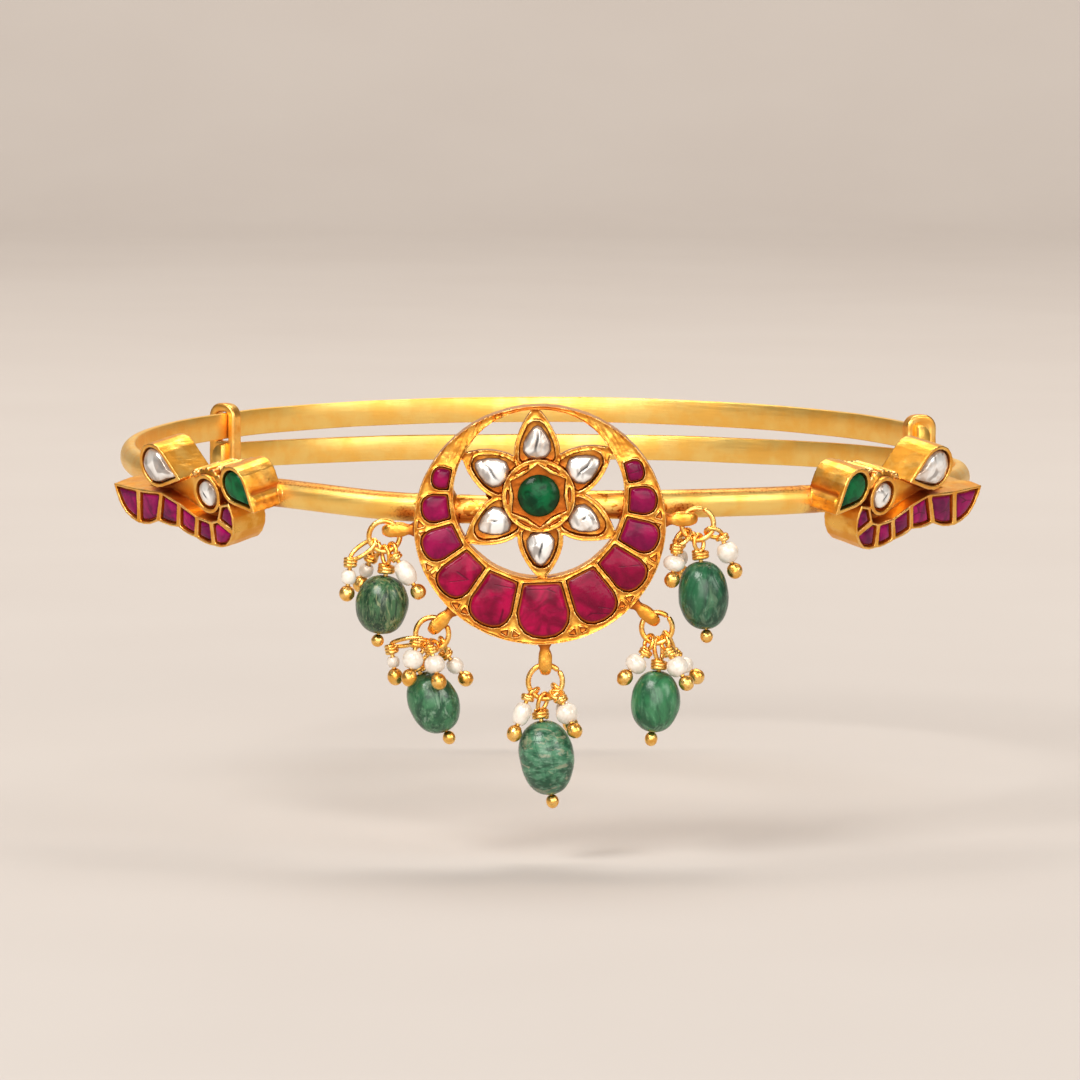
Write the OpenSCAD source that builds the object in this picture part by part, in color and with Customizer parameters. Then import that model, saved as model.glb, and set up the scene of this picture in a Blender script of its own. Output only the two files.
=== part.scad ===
/* [Hoop] */
// Inner diameter of the hoop
arm_d = 78; // [70:1:90]
// Height of the rod, measured along the arm
rod_h = 2.55; // [2.2:0.05:2.8]
// Thickness of the rod, from its flat inside to the crown of its domed outside
rod_t = 1.4; // [1.2:0.05:1.7]
// Thickness of the rod at its upper and lower edges
rod_edge = 0.4; // [0.2:0.05:0.7]
// Height of the gap between the two bars inside the right collar
bar_gap = 0.1; // [0.08:0.02:0.4]
// How far the end of a bar stands out of the collar soldered to it
bar_end = 0.6; // [0.3:0.1:1.5]

/* [Collars] */
// Angle of the left collar, from the middle of the front
left_collar = 127; // [120:1:135]
// Angle of the right collar, from the middle of the front
right_collar = 113; // [108:1:118]
// Width of a collar along the bars
collar_w = 1.35; // [1:0.05:2]
// Thickness of the strap that a collar is bent from
collar_wall = 0.85; // [0.6:0.05:1.1]
// Clearance between a collar and the bar that slides in it
slide_gap = 0.12; // [0.08:0.02:0.2]

/* [Crescent] */
// Width of the crescent plate
crescent_w = 22.4; // [21.5:0.1:24]
// Height of the crescent plate
crescent_h = 21.3; // [21:0.1:23]
// Depth of the crescent plate, front to back
crescent_depth = 3; // [2.8:0.1:3.6]
// Width of the opening in the crescent
hole_w = 15.25; // [14:0.25:16]
// Height of the opening in the crescent
hole_h = 14.75; // [14:0.25:15.5]
// How far the middle of the opening lies above the middle of the plate
hole_up = 2.66; // [2:0.02:2.7]
// How far the crescent's face stands in front of the rod
crescent_proud = 1.2; // [1:0.1:1.6]
// How far the middle of the crescent lies below the middle of the rod
crescent_drop = 1.65; // [0.5:0.05:2.5]
// How far the crescent sits to the left of the middle
crescent_left = 0.45; // [0:0.05:1]
// Lean of the crescent on the rod, in degrees
crescent_roll = 2.4; // [0:0.1:4]
// Width of the gold lips between the stones
lip = 0.35; // [0.25:0.05:0.5]
// Width of the rim outside the rubies
rim_w = 0.5; // [0.4:0.05:0.8]
// Depth of the stone pockets
pocket_deep = 1.2; // [1:0.1:1.5]
// Size of the carved corners along the rim
carve_w = 1; // [0.7:0.05:1.1]
// Depth of the carved corners along the rim
carve_deep = 0.35; // [0.2:0.05:0.6]

/* [Flower] */
// Width of a petal
petal_w = 4.1; // [3.4:0.1:4.4]
// Diameter of the boss in the middle of the flower
boss_d = 6.5; // [6:0.1:7]
// How far the boss stands in front of the petals
boss_proud = 0.25; // [0.1:0.05:0.5]
// Depth of the star-shaped well round the emerald
star_deep = 0.9; // [0.7:0.05:1.2]
// Diameter of the round emerald
emerald_d = 3.8; // [3.2:0.1:4.2]
// Height of the emerald's dome above its girdle
emerald_dome = 0.7; // [0.4:0.05:1]

/* [Bird motifs] */
// Length of a bird motif, beak side to tail tip, as a unit for its outline
bird_l = 21; // [19:0.5:23]
// Depth of a bird motif's box settings
bird_depth = 3.85; // [3.4:0.05:4.4]
// How far a bird motif's face stands in front of the rod
bird_proud = 2.35; // [1.9:0.05:2.6]
// Angle of a bird motif round the hoop, from the middle of the front
bird_angle = 48.4; // [44:0.2:60]
// Downward tilt of a bird motif's face, in degrees
bird_tilt = 12; // [0:1:16]
// How far the floor between the settings lies behind their lips
bird_floor = 1.3; // [1:0.1:1.6]

/* [Stones] */
// Clearance round a stone in its pocket
stone_gap = 0.05; // [0.03:0.01:0.08]
// Width of the bevel round a stone's table
bevel_w = 0.22; // [0.15:0.01:0.3]
// Height of the bevel round a stone's table
bevel_h = 0.28; // [0.2:0.02:0.4]
// How far a stone's table lies behind the gold lips
table_sunk = 0.06; // [0:0.02:0.2]

/* [Drops] */
// Width of a lug's strap
lug_w = 1; // [0.9:0.05:1.1]
// Length of a lug, from the rim to its tip
lug_len = 2.85; // [2.6:0.05:3.1]
// Thickness of a lug's strap
lug_strap = 0.45; // [0.35:0.05:0.5]
// Length of a lug's solid root, from the rim to its eye
lug_root = 0.5; // [0.4:0.05:0.7]
// Clear height of a lug's eye
eye_h = 0.75; // [0.7:0.05:0.9]
// Wire diameter of a jump ring
ring_wire = 0.45; // [0.35:0.05:0.5]
// Mean diameter of a jump ring
ring_d = 2.85; // [2.75:0.05:3.1]
// Wire diameter of a headpin
pin_wire = 0.34; // [0.3:0.02:0.36]
// Mean diameter of a headpin's loop
loop_d = 1.1; // [1.06:0.02:1.2]
// Diameter of the ball under a pearl
pearl_ball = 1.4; // [1:0.05:1.5]
// Diameter of the ball under a green bead
bead_ball = 1.15; // [0.9:0.05:1.4]
// Width of a green bead
bead_w = 4.65; // [4:0.05:5]
// Length of a green bead
bead_h = 5.9; // [5:0.1:6.5]
// Distance from a jump ring's wire to the top of its green bead
neck = 2; // [1.8:0.05:2.4]
// Diameter of a pearl
pearl_d = 1.85; // [1.4:0.05:2]
// Clearance between pieces that hang or turn on each other
hang_gap = 0.08; // [0.05:0.01:0.12]

/* [Hidden] */
$fn = 48;
outer_r = arm_d / 2 + rod_t;
mean_r = (arm_d + rod_t) / 2;
// Overlap that joins soldered pieces, and the extra height of a cutting tool
bite = 0.25;
cut = 0.5;

// Both arms of the hoop tilt about the middle of the front, one up and one down
arm_tilt = atan((rod_h + bar_gap) / 2 / (mean_r * (1 - cos(right_collar))));

// Columns: side of the bar that a collar is soldered to (1 upper, -1 lower), ring angle
COLLARS = [[1, right_collar], [-1, -left_collar]];

crescent_face = outer_r + crescent_proud;
// The petals' lips lie a little behind the crescent's
flower_back = 0.1;
flower_face = crescent_face - flower_back;
flower_depth = flower_face - outer_r + bite;
boss_face = flower_face + boss_proud;
// Half the space between the ends of the rods at the middle of the front
rod_split = 0.3;
// How far the solder pad covers the rods behind the crescent
pad_cover = 0.1;

// Angles of the walls between the ruby cells, from straight down round the opening
CELL_WALLS = [13.9, 37, 57, 76, 94.5, 110.5];
CELLS = [-5, -4, -3, -2, -1, 0, 1, 2, 3, 4, 5];
// Wall numbers with a pair of carved corners at the rim
CARVED_WALLS = [0, 1, 2, 3];

PETALS = [30, 90, 150, 210, 270, 330];
// A petal starts under the boss, and is widest at this share of its length from the tip
petal_from = boss_d * 0.25;
petal_wide_at = 0.65;
petal_lip = 1.15 * lip;
tip_block = 2.6 * lip;
// Half width of a petal's stone as a share of the petal's, and how blunt its egg shape is
polki_half = 0.33;
polki_egg = 0.22;
star_r = boss_d * 0.44;
star_notch_r = boss_d * 0.35;
leaf_l = boss_d * 0.28;
leaf_w = lip * 0.9;
leaf_deep = carve_deep * 0.6;

// Bird outlines lie in the plane of the face: first along it to the tail, then up,
// as shares of bird_l. Columns: middle, radius, tip
HEAD = [[-0.283, 0.045], 0.088, [-0.4, -0.069]];
WING = [[0.25, 0.098], 0.1, [0.081, 0.045]];
// Columns: middle, radius
BODY = [[-0.088, -0.005], 0.087];
// Rows: the walls across the band of rubies, from the tail tip to the throat.
// Columns: upper end, lower end, bulge of the lower edge up to the next wall
BAND = [
    [[0.567, -0.005], [0.556, -0.05], 0.03],
    [[0.395, -0.019], [0.433, -0.176], 0.012],
    [[0.233, -0.021], [0.29, -0.155], 0.008],
    [[0.119, -0.06], [0.152, -0.171], 0.008],
    [[0.007, -0.114], [0.038, -0.21], 0.008],
    [[-0.086, -0.129], [-0.076, -0.238], 0.034],
    [[-0.133, -0.119], [-0.233, -0.171], 0.016],
    [[-0.171, -0.048], [-0.229, -0.038], 0]
];
band_lip = lip * 0.7;
// Corners of the sunk floor that ties the settings of a bird together
FLOOR = [
    [-0.29, 0.1], [-0.25, -0.06], [-0.13, -0.13], [0.02, -0.13],
    [0.14, -0.06], [0.42, -0.03], [0.28, 0.03], [0.1, 0.045], [-0.08, 0.075]
];

// Rows: the drops from left to right. Columns: name, angle of the lug from straight
// down, place of the ring's wire along the eye as a share, swing of the ring, ring
// diameter and neck as shares of the named sizes, swing of the bead, bead width and
// bead length as shares of the named sizes, tilt of the bead
DROPS = [
    ["left", -90, 0.47, -65, 0.96, 1.07, -2, 1.02, 0.89, -7],
    ["lower_left", -47.7, 0.43, -35, 1.03, 0.92, 1, 0.95, 0.965, 24],
    ["bottom", 0, 0.85, 0, 1.07, 0.98, 1, 1.05, 1.135, 8],
    ["lower_right", 47.7, 0.67, 34, 0.96, 1.25, -1, 0.945, 0.935, -6],
    ["right", 90, 0.55, 70, 0.99, 0.96, 5, 0.97, 1.035, 4.6]
];
// Rows: the pearls. Columns: drop, place of the pearl round its bead as shares of the
// reach at which it would touch the bead, lean of its pin across and back, width and
// length as shares of pearl_d, angle of the pin's loop on the jump ring
PEARLS = [
    [0, [-1.06, 0, 0.63], [-0.11, 0], 0.74, 0.8, -62],
    [0, [-0.59, 0.6, 0.81], [-0.4, 0.3], 0.73, 0.73, -31],
    [0, [0.55, -0.25, 0.91], [0.66, -0.1], 0.93, 1.35, 33],
    [1, [-0.66, 0.25, 1.37], [0.13, 0], 0.62, 0.64, -62],
    [1, [0.01, -0.6, 1.18], [-0.2, -0.15], 1, 0.98, -30],
    [1, [0.52, -0.67, 0.87], [0.25, -0.2], 1, 0.88, 29],
    [1, [1.03, 0.45, 0.58], [0.78, 0.1], 0.81, 0.83, 62],
    [2, [-0.5, -0.35, 1.05], [-0.37, -0.15], 0.87, 1.2, -42],
    [2, [0.69, -0.35, 0.88], [0.45, -0.2], 1.1, 0.99, 36],
    [2, [0.66, 0.75, 0.9], [0.4, 0.35], 0.87, 0.87, 66],
    [3, [-0.66, -0.25, 0.88], [-0.82, -0.1], 1.05, 0.9, -42],
    [3, [0.5, -0.3, 0.92], [0.57, -0.15], 1.05, 0.98, 32],
    [3, [0.8, 0.62, 0.95], [1, 0.15], 0.8, 0.8, 62],
    [4, [-0.74, -0.25, 0.78], [-0.14, -0.05], 1.05, 0.8, -57],
    [4, [0.76, 0.1, 0.9], [0.39, 0], 1.04, 1.06, 55],
    [4, [-0.6, 0.88, 0.85], [0.1, 0.3], 0.78, 0.78, -28]
];
pin_r = pin_wire / 2;
// Clearance between a bead and the ball below it or the wraps above it
ball_gap = 0.05;
// Wall of a bead at the mouth of its bore
bore_wall = 0.06;
// Where a bead's end is cut off: the mouth's width as a share of the bore, and its limit
mouth_w = 1.6;
mouth_most = 0.9;
eye_len = lug_len - lug_root - lug_strap;
lug_deep = eye_h + 2 * lug_strap;
// How far the lugs lie behind the crescent's face
lug_back = 0.5;
drop_y = lug_deep / 2 + lug_back - crescent_face;
// Corner radii of a collar, a lug and its eye, as shares of their thickness
collar_round = 0.95;
lug_round = 0.35;
eye_round = 0.3;
bead_turns = 2;
pearl_turns = 2;

BIRDS = ["left", "right"];

GOLD = [0.9, 0.66, 0.24];
RUBY = [0.68, 0.05, 0.28];
POLKI = [0.85, 0.86, 0.86];
EMERALD = [0.03, 0.36, 0.2];
BEAD = [0.13, 0.4, 0.27];
PEARL = [0.93, 0.89, 0.83];

function ruby_name(k) =
    str("ruby_", k < 0 ? "left_" : k > 0 ? "right_" : "bottom", k == 0 ? "" : 6 - abs(k));
function unit(v) = v / norm(v);
function flip(p) = [for (i = [len(p) - 1 : -1 : 0]) p[i]];
function moved(p, v) = [for (q = p) q + v];
function scaled(p, f) = [for (q = p) q * f];
function turned(q, a) = [q.x * cos(a) - q.y * sin(a), q.x * sin(a) + q.y * cos(a)];

// Outlines run counter-clockwise
function ellipse(w, h, n = 72) =
    [for (k = [0 : n - 1]) [w / 2 * cos(360 * k / n), h / 2 * sin(360 * k / n)]];
function inset(p, d) = let (n = len(p)) [
    for (i = [0 : n - 1])
        let (u = unit(p[i] - p[(i + n - 1) % n]), v = unit(p[(i + 1) % n] - p[i]))
        let (a = [-u.y, u.x], b = [-v.y, v.x])
        p[i] + d * (a + b) / (1 + a * b)
];
function teardrop(c, r, tip, n = 12) =
    let (v = tip - c, b = acos(r / norm(v)), from = atan2(v.y, v.x) + b, span = 360 - 2 * b)
    concat([tip], [for (k = [0 : n]) c + r * [cos(from + span * k / n), sin(from + span * k / n)]]);
function rounded_box(w, h, r, n = 5) = [
    for (q = [[1, 1, 0], [-1, 1, 90], [-1, -1, 180], [1, -1, 270]])
        for (k = [0 : n])
            [q.x * (w / 2 - r) + r * cos(q.z + 90 * k / n), q.y * (h / 2 - r) + r * sin(q.z + 90 * k / n)]
];

// Crescent geometry, in its own plane. Angles run round the opening from straight down
function way(a) = [sin(a), -cos(a)];
function hole_reach(a) = 1 / norm([sin(a) / (hole_w / 2), cos(a) / (hole_h / 2)]);
function rim_reach(a) =
    let (p = sin(a) / (crescent_w / 2), q = cos(a) / (crescent_h / 2), k = hole_up / (crescent_h / 2))
    (k * q + sqrt(k * k * q * q - (p * p + q * q) * (k * k - 1))) / (p * p + q * q);
function cell_from(k) = abs(k) == 0 ? -CELL_WALLS[0] : sign(k) * CELL_WALLS[abs(k) - 1];
function cell_to(k) = abs(k) == 0 ? CELL_WALLS[0] : sign(k) * CELL_WALLS[abs(k)];
function cell_angle(k) = (cell_from(k) + cell_to(k)) / 2;
function cell_inner(k) = hole_reach(cell_angle(k)) + lip;
function cell_len(k) =
    let (a = cell_angle(k))
    rim_reach(a) - hole_reach(a) - rim_w - lip;
function cell_half(k, r) = r * tan(abs(cell_to(k) - cell_from(k)) / 2) - lip / 2;
// Rounds a curve's end a little fuller than a circle does
fuller = 0.85;
function full(x) = sign(x) * pow(abs(x), fuller);
// A ruby cell: a straight inner edge, sides that part, and a round outer end
function cell(k, n = 8) =
    let (r0 = cell_inner(k), l = cell_len(k), cap = min(l * 0.5, cell_half(k, r0 + l * 0.5)))
    let (w0 = cell_half(k, r0), w1 = cell_half(k, r0 + l - cap))
    let (end = [
        for (j = [0 : n]) [w1 * full(cos(180 * j / n)), r0 + l - cap + cap * full(sin(180 * j / n))]
    ])
    let (p = concat([[-w0, r0], [w0, r0]], end))
    [for (q = p) turned([q.x, -q.y], cell_angle(k)) + [0, hole_up]];
function ruby_outline(k) = inset(flip(cell(k)), stone_gap);

// A petal points up from the middle of the flower, narrow at its tip and at its root
function petal_half(t) = petal_w / 2 * full(sin(90 * t / petal_wide_at));
function petal(a, n = 10) =
    let (reach = hole_reach(a + 90) + bite, l = reach - petal_from)
    let (right = [for (k = [0 : n]) let (t = 1 - k / n) [petal_half(t), reach - t * l]])
    concat(right, [for (k = [n - 1 : -1 : 0]) [-right[k].x, right[k].y]]);
function petal_pocket(a) =
    [for (q = inset(petal(a), petal_lip)) [q.x, min(q.y, hole_reach(a + 90) - tip_block)]];
// The white stone of a petal is egg-shaped, with its blunt end beside the boss
function polki_outline(n = 12) =
    let (half = petal_w * polki_half)
    [for (k = [0 : n - 1]) let (s = sin(360 * k / n))
        [half * cos(360 * k / n) * (1 - polki_egg * s), boss_d / 2 + 2 * stone_gap + half * (1 + s)]];
// A thin leaf between two arcs, across the line that points up
function leaf(r, l, w, n = 6) = concat(
    [for (k = [0 : n - 1]) let (t = 2 * k / n - 1) [-t * l / 2, r + w / 2 * (1 - t * t)]],
    [for (k = [0 : n - 1]) let (t = 1 - 2 * k / n) [-t * l / 2, r - w / 2 * (1 - t * t)]]
);
function star(r, r_in, n) = [
    for (k = [0 : 2 * n - 1])
        (k % 2 == 0 ? r : r_in) * [cos(PETALS[0] + 180 * k / n), sin(PETALS[0] + 180 * k / n)]
];

// Bird outlines at their real size
function head() = teardrop(HEAD[0] * bird_l, HEAD[1] * bird_l, HEAD[2] * bird_l);
function wing() = teardrop(WING[0] * bird_l, WING[1] * bird_l, WING[2] * bird_l);
function body_ring() = moved(ellipse(2 * BODY[1] * bird_l, 2 * BODY[1] * bird_l, 24), BODY[0] * bird_l);
function bulge(k, n = 4) =
    let (a = BAND[k][1] * bird_l, b = BAND[k + 1][1] * bird_l, u = unit(b - a), out = [-u.y, u.x])
    [for (j = [0 : n]) a + (b - a) * j / n + out * BAND[k][2] * bird_l * sin(180 * j / n)];
function band_cell(k) = flip(concat(bulge(k), [BAND[k + 1][0] * bird_l, BAND[k][0] * bird_l]));
function band_pocket(k) = inset(band_cell(k), band_lip);

// Drops. Each point is worked out down the chain: rim, lug, jump ring, bead, pearl
function on_frame(p) =
    let (q = turned(p, crescent_roll))
    [q.x - crescent_left, drop_y, q.y - crescent_drop];
function lug_foot(a) = way(a) / norm([sin(a) / (crescent_w / 2), cos(a) / (crescent_h / 2)]);
function down(a) = [sin(a), 0, -cos(a)];
function ring_r(d) = ring_d / 2 * d[4];
function wire_from_rim(d) = lug_root + ring_wire / 2 + (eye_len - ring_wire) * d[2];
function ring_at(d) = on_frame(lug_foot(d[1]) + way(d[1]) * wire_from_rim(d)) + ring_r(d) * down(d[3]);
function bead_size(d) = [bead_w * d[7], bead_h * d[8]];
function bead_at(d) = ring_at(d) + (ring_r(d) + neck * d[5] + bead_size(d).y / 2) * down(d[6]);
function in_bead(d, p) =
    let (q = turned([p.x, p.z], d[9]))
    bead_at(d) + [q.x, p.y, q.y];
function pearl_size(p) = pearl_d * [p[3], p[4]];
function pearl_at(p) =
    let (d = DROPS[p[0]], r = pearl_size(p).x / 2, b = bead_size(d) / 2)
    in_bead(d, [p[1].x * (b.x + r), p[1].y * (b.x + r), p[1].z * (b.y + r)]);
function pearl_way(p) = unit([p[2].x, p[2].y, -1]);
function pearls_of(name) = [for (p = PEARLS) if (DROPS[p[0]][0] == name) p];

// Solids
module slab(points, face, deep)
    translate([0, deep - face, 0]) rotate([90, 0, 0]) linear_extrude(deep) polygon(points);
module pocket(points, face, deep)
    slab(points, face + cut, deep + cut);
module at_crescent()
    translate([-crescent_left, 0, -crescent_drop]) rotate([0, -crescent_roll, 0]) children();
module at_flower()
    at_crescent() translate([0, 0, hole_up]) children();
module at_bird(side)
    mirror([side == "left" ? 1 : 0, 0, 0])
        rotate([0, 0, bird_angle]) translate([0, -outer_r - bird_proud, 0])
            rotate([bird_tilt, 0, 0]) children();
module at_hoop(a)
    rotate([0, 0, a]) translate([0, -mean_r, 0]) children();
module aim(p, q) {
    v = q - p;
    translate(p) rotate([0, acos(v.z / norm(v)), atan2(v.y, v.x)]) children();
}
module stem(p, q)
    aim(p, q) cylinder(d = 0.9 * pin_wire, h = norm(q - p));

// A stone is a stack of outlines: its base, its girdle and its smaller table
function ring3(p, z) = [for (q = p) [q.x, q.y, z]];
module stone(points, face, deep) {
    rings = [
        ring3(inset(points, bevel_w * 0.6), stone_gap),
        ring3(points, deep * 0.45),
        ring3(points, deep - table_sunk - bevel_h),
        ring3(inset(points, bevel_w), deep - table_sunk)
    ];
    n = len(points);
    m = len(rings);
    sides = [
        for (k = [0 : m - 2]) for (i = [0 : n - 1])
            [k * n + i, (k + 1) * n + i, (k + 1) * n + (i + 1) % n, k * n + (i + 1) % n]
    ];
    ends = [[for (i = [0 : n - 1]) i], [for (i = [n - 1 : -1 : 0]) (m - 1) * n + i]];
    translate([0, deep - face, 0]) rotate([90, 0, 0])
        polyhedron([for (r = rings) each r], concat(sides, ends), convexity = 4);
}

// The rod is flat inside the hoop and domed outside
module rod_profile(n = 10)
    polygon(concat(
        [[arm_d / 2, -rod_h / 2]],
        [for (k = [0 : n]) [
            arm_d / 2 + rod_edge + (rod_t - rod_edge) * cos(180 * k / n - 90),
            rod_h / 2 * sin(180 * k / n - 90)
        ]],
        [[arm_d / 2, rod_h / 2]]
    ));
// side 1 is the arm that starts to the left and lies above at the back
module arm(side) {
    reach = 360 - (side > 0 ? right_collar : left_collar) + (collar_w / 2 + bar_end) * 180 / PI / mean_r;
    start = rod_split / mean_r * 180 / PI;
    translate([0, -mean_r, 0]) rotate([side * arm_tilt, 0, 0]) translate([0, mean_r, 0])
        rotate([0, 0, side > 0 ? -90 - reach : start - 90])
            rotate_extrude(angle = reach - start, $fn = 144) rod_profile();
}
// A collar is soldered to the end of one bar and slides on the other
module collar(c) {
    half = mean_r * (1 - cos(c[1])) * tan(arm_tilt);
    opening = rod_t + 2 * slide_gap;
    top = half + rod_h / 2 + slide_gap;
    tall = 2 * (top + collar_wall);
    low = rod_h / 2 - half;
    at_hoop(c[1]) difference() {
        rotate([90, 0, 90]) translate([0, 0, -collar_w / 2]) linear_extrude(collar_w)
            polygon(rounded_box(opening + 2 * collar_wall, tall, collar_wall * collar_round));
        scale([1, 1, -c[0]]) translate([-collar_w, -opening / 2, low])
            cube([2 * collar_w, opening, top - low]);
    }
}
module solder_pad()
    translate([-boss_d * 0.3, -outer_r - pad_cover / 2, -rod_h / 2 - pad_cover])
        cube([boss_d * 0.6, rod_t + pad_cover, rod_h + 2 * pad_cover]);

module crescent_plate()
    at_crescent() difference() {
        slab(ellipse(crescent_w, crescent_h), crescent_face, crescent_depth);
        translate([0, 0, hole_up])
            slab(ellipse(hole_w, hole_h), crescent_face + cut, crescent_depth + 2 * cut);
        for (k = CELLS) pocket(flip(cell(k)), crescent_face, pocket_deep);
        for (w = CARVED_WALLS) for (s = [-1, 1]) carved_pair(s * CELL_WALLS[w]);
    }
// Two small carved corners with a raised leaf between them
module carved_pair(a)
    for (s = [-1, 1]) {
        corner = [[0.2 * s, 0], [s, 0.3], [0.2 * s, 0.7]] * carve_w;
        r = rim_reach(a) - lip;
        pocket([for (q = corner) turned([q.x, q.y - r], a) + [0, hole_up]], crescent_face, carve_deep);
    }
module flower_gold()
    at_flower() difference() {
        union() {
            for (a = PETALS) rotate([0, 90 - a, 0]) difference() {
                slab(petal(a), flower_face, flower_depth);
                pocket(petal_pocket(a), flower_face, pocket_deep);
            }
            translate([0, bite - outer_r, 0]) rotate([90, 0, 0])
                cylinder(d = boss_d, h = boss_face - outer_r + bite);
        }
        pocket(star(star_r, star_notch_r, 6), boss_face, star_deep);
        for (a = PETALS) rotate([0, a, 0])
            pocket(leaf(boss_d / 2 - lip - leaf_w / 2, leaf_l, leaf_w), boss_face, leaf_deep);
    }
module lug(a) {
    strap = rounded_box(lug_deep, lug_len + 2 * bite, lug_deep * lug_round);
    eye = rounded_box(eye_h, eye_len, eye_h * eye_round);
    at_crescent() translate([lug_foot(a).x, drop_y, lug_foot(a).y]) rotate([0, -a, 0])
        difference() {
            translate([-lug_w / 2, 0, 0]) rotate([90, 0, 90]) linear_extrude(lug_w)
                polygon(moved(strap, [0, bite - lug_len / 2]));
            translate([-lug_w, 0, 0]) rotate([90, 0, 90]) linear_extrude(2 * lug_w)
                polygon(moved(eye, [0, -lug_root - eye_len / 2]));
        }
}
module bird_gold(side)
    at_bird(side) {
        difference() {
            slab(head(), 0, bird_depth);
            pocket(inset(head(), lip), 0, pocket_deep);
        }
        difference() {
            slab(wing(), 0, bird_depth);
            pocket(inset(wing(), lip), 0, pocket_deep);
        }
        difference() {
            slab(body_ring(), 0, bird_depth);
            pocket(inset(body_ring(), lip), 0, pocket_deep);
        }
        for (k = [0 : len(BAND) - 2]) difference() {
            slab(band_cell(k), 0, bird_depth);
            pocket(band_pocket(k), 0, pocket_deep);
        }
        slab(scaled(FLOOR, bird_l), -bird_floor, bird_depth - bird_floor);
    }
module gold_frame()
    color(GOLD) {
        arm(1);
        arm(-1);
        solder_pad();
        for (c = COLLARS) collar(c);
        crescent_plate();
        flower_gold();
        for (d = DROPS) lug(d[1]);
        for (s = BIRDS) bird_gold(s);
    }

module crescent_ruby(k)
    color(RUBY) at_crescent() stone(ruby_outline(k), crescent_face, pocket_deep);
module petal_polki(a)
    color(POLKI) at_flower() rotate([0, 90 - a, 0]) stone(polki_outline(), flower_face, pocket_deep);
module flower_emerald(n = 8) {
    base = star_deep - stone_gap;
    girdle = base * 0.5;
    color(EMERALD) at_flower() translate([0, base - boss_face, 0]) rotate([90, 0, 0])
        rotate_extrude() polygon(concat(
            [[0, 0], [emerald_d / 2 - bevel_w, 0]],
            [for (j = [0 : n]) [emerald_d / 2 * cos(90 * j / n), girdle + emerald_dome * sin(90 * j / n)]]
        ));
}
module bird_stone(side, points)
    at_bird(side) stone(inset(points, lip + stone_gap), 0, pocket_deep);
module bird_rubies(side)
    color(RUBY) at_bird(side) for (k = [0 : len(BAND) - 2])
        stone(inset(band_pocket(k), stone_gap), 0, pocket_deep);

module jump_ring(d)
    color(GOLD) translate(ring_at(d)) rotate([90, 0, 0])
        rotate_extrude() translate([ring_r(d), 0]) circle(d = ring_wire, $fn = 24);
// A drilled bead: an oval that is a little fuller than an ellipse
module drilled_bead(w, l, bore, n = 10) {
    end = asin(min(bore / w * mouth_w, mouth_most));
    side = [
        for (k = [0 : n])
            let (t = -90 + end + (180 - 2 * end) * k / n)
            [max(w / 2 * full(cos(t)), bore / 2 + bore_wall), l / 2 * sin(t)]
    ];
    rotate_extrude() polygon(concat(side, [[bore / 2, side[n].y], [bore / 2, side[0].y]]));
}
module bead(d)
    color(BEAD) translate(bead_at(d)) rotate([0, -d[9], 0])
        drilled_bead(bead_size(d).x, bead_size(d).y, pin_wire + 3 * hang_gap);
// A headpin from its ball up: ball, shaft, then the turns of wire wrapped round it
module headpin(ball, shaft, turns, n = 8) {
    high = acos(pin_r / (ball / 2));
    rotate_extrude($fn = 32) polygon(concat(
        [for (k = [0 : n]) let (t = -90 + (high + 90) * k / n) [ball / 2 * cos(t), ball / 2 * sin(t)]],
        [[pin_r, shaft]],
        [for (k = [0 : turns - 1]) for (j = [0 : 4])
            [pin_wire + pin_r * cos(45 * j - 90), shaft + pin_wire * (k + 0.5) + pin_r * sin(45 * j - 90)]],
        [[0, shaft + pin_wire * turns]]
    ));
}
// Place on a loop that hangs on the jump ring, as a share of its radius out from its middle
function on_loop(d, a, share) =
    let (reach = ring_r(d) + (loop_d - pin_wire - ring_wire) / 2 - hang_gap)
    ring_at(d) + (reach + share * loop_d / 2) * down(a);
module pin_loop(d, a)
    translate(on_loop(d, a, 0)) rotate([0, 90 - a, 0])
        rotate_extrude($fn = 32) translate([loop_d / 2, 0]) circle(d = pin_wire, $fn = 20);
module whole_pin(d, a, ball, foot, top, turns) {
    tip = top + unit(top - foot) * turns * pin_wire;
    aim(foot, top) headpin(ball, norm(top - foot), turns);
    pin_loop(d, a);
    stem(on_loop(d, a, 1), tip - unit(top - foot) * pin_wire);
}
module bead_pin(d) {
    l = bead_size(d).y / 2;
    color(GOLD) whole_pin(d, 0, bead_ball,
        in_bead(d, [0, 0, -l - bead_ball / 2 - ball_gap]), in_bead(d, [0, 0, l + ball_gap]), bead_turns);
}
module pearl_pins(name)
    color(GOLD) for (p = pearls_of(name)) {
        l = pearl_size(p).y / 2;
        whole_pin(DROPS[p[0]], p[5], pearl_ball,
            pearl_at(p) + pearl_way(p) * (l + pearl_ball / 2 + ball_gap),
            pearl_at(p) - pearl_way(p) * (l + ball_gap), pearl_turns);
    }
module pearls(name)
    color(PEARL) for (p = pearls_of(name))
        aim(pearl_at(p), pearl_at(p) - pearl_way(p))
            drilled_bead(pearl_size(p).x, pearl_size(p).y, pin_wire + 2 * hang_gap, 8);

gold_frame();
flower_emerald();
for (k = CELLS) crescent_ruby(k);
for (k = [0 : len(PETALS) - 1])
    petal_polki(PETALS[k]);
for (s = BIRDS) color(EMERALD) bird_stone(s, head());
for (s = BIRDS) color(POLKI) bird_stone(s, wing());
for (s = BIRDS)
    color(POLKI) bird_stone(s, body_ring());
for (s = BIRDS) bird_rubies(s);
for (d = DROPS) jump_ring(d);
for (d = DROPS) bead(d);
for (d = DROPS) bead_pin(d);
for (d = DROPS) pearls(d[0]);
for (d = DROPS) pearl_pins(d[0]);
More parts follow.
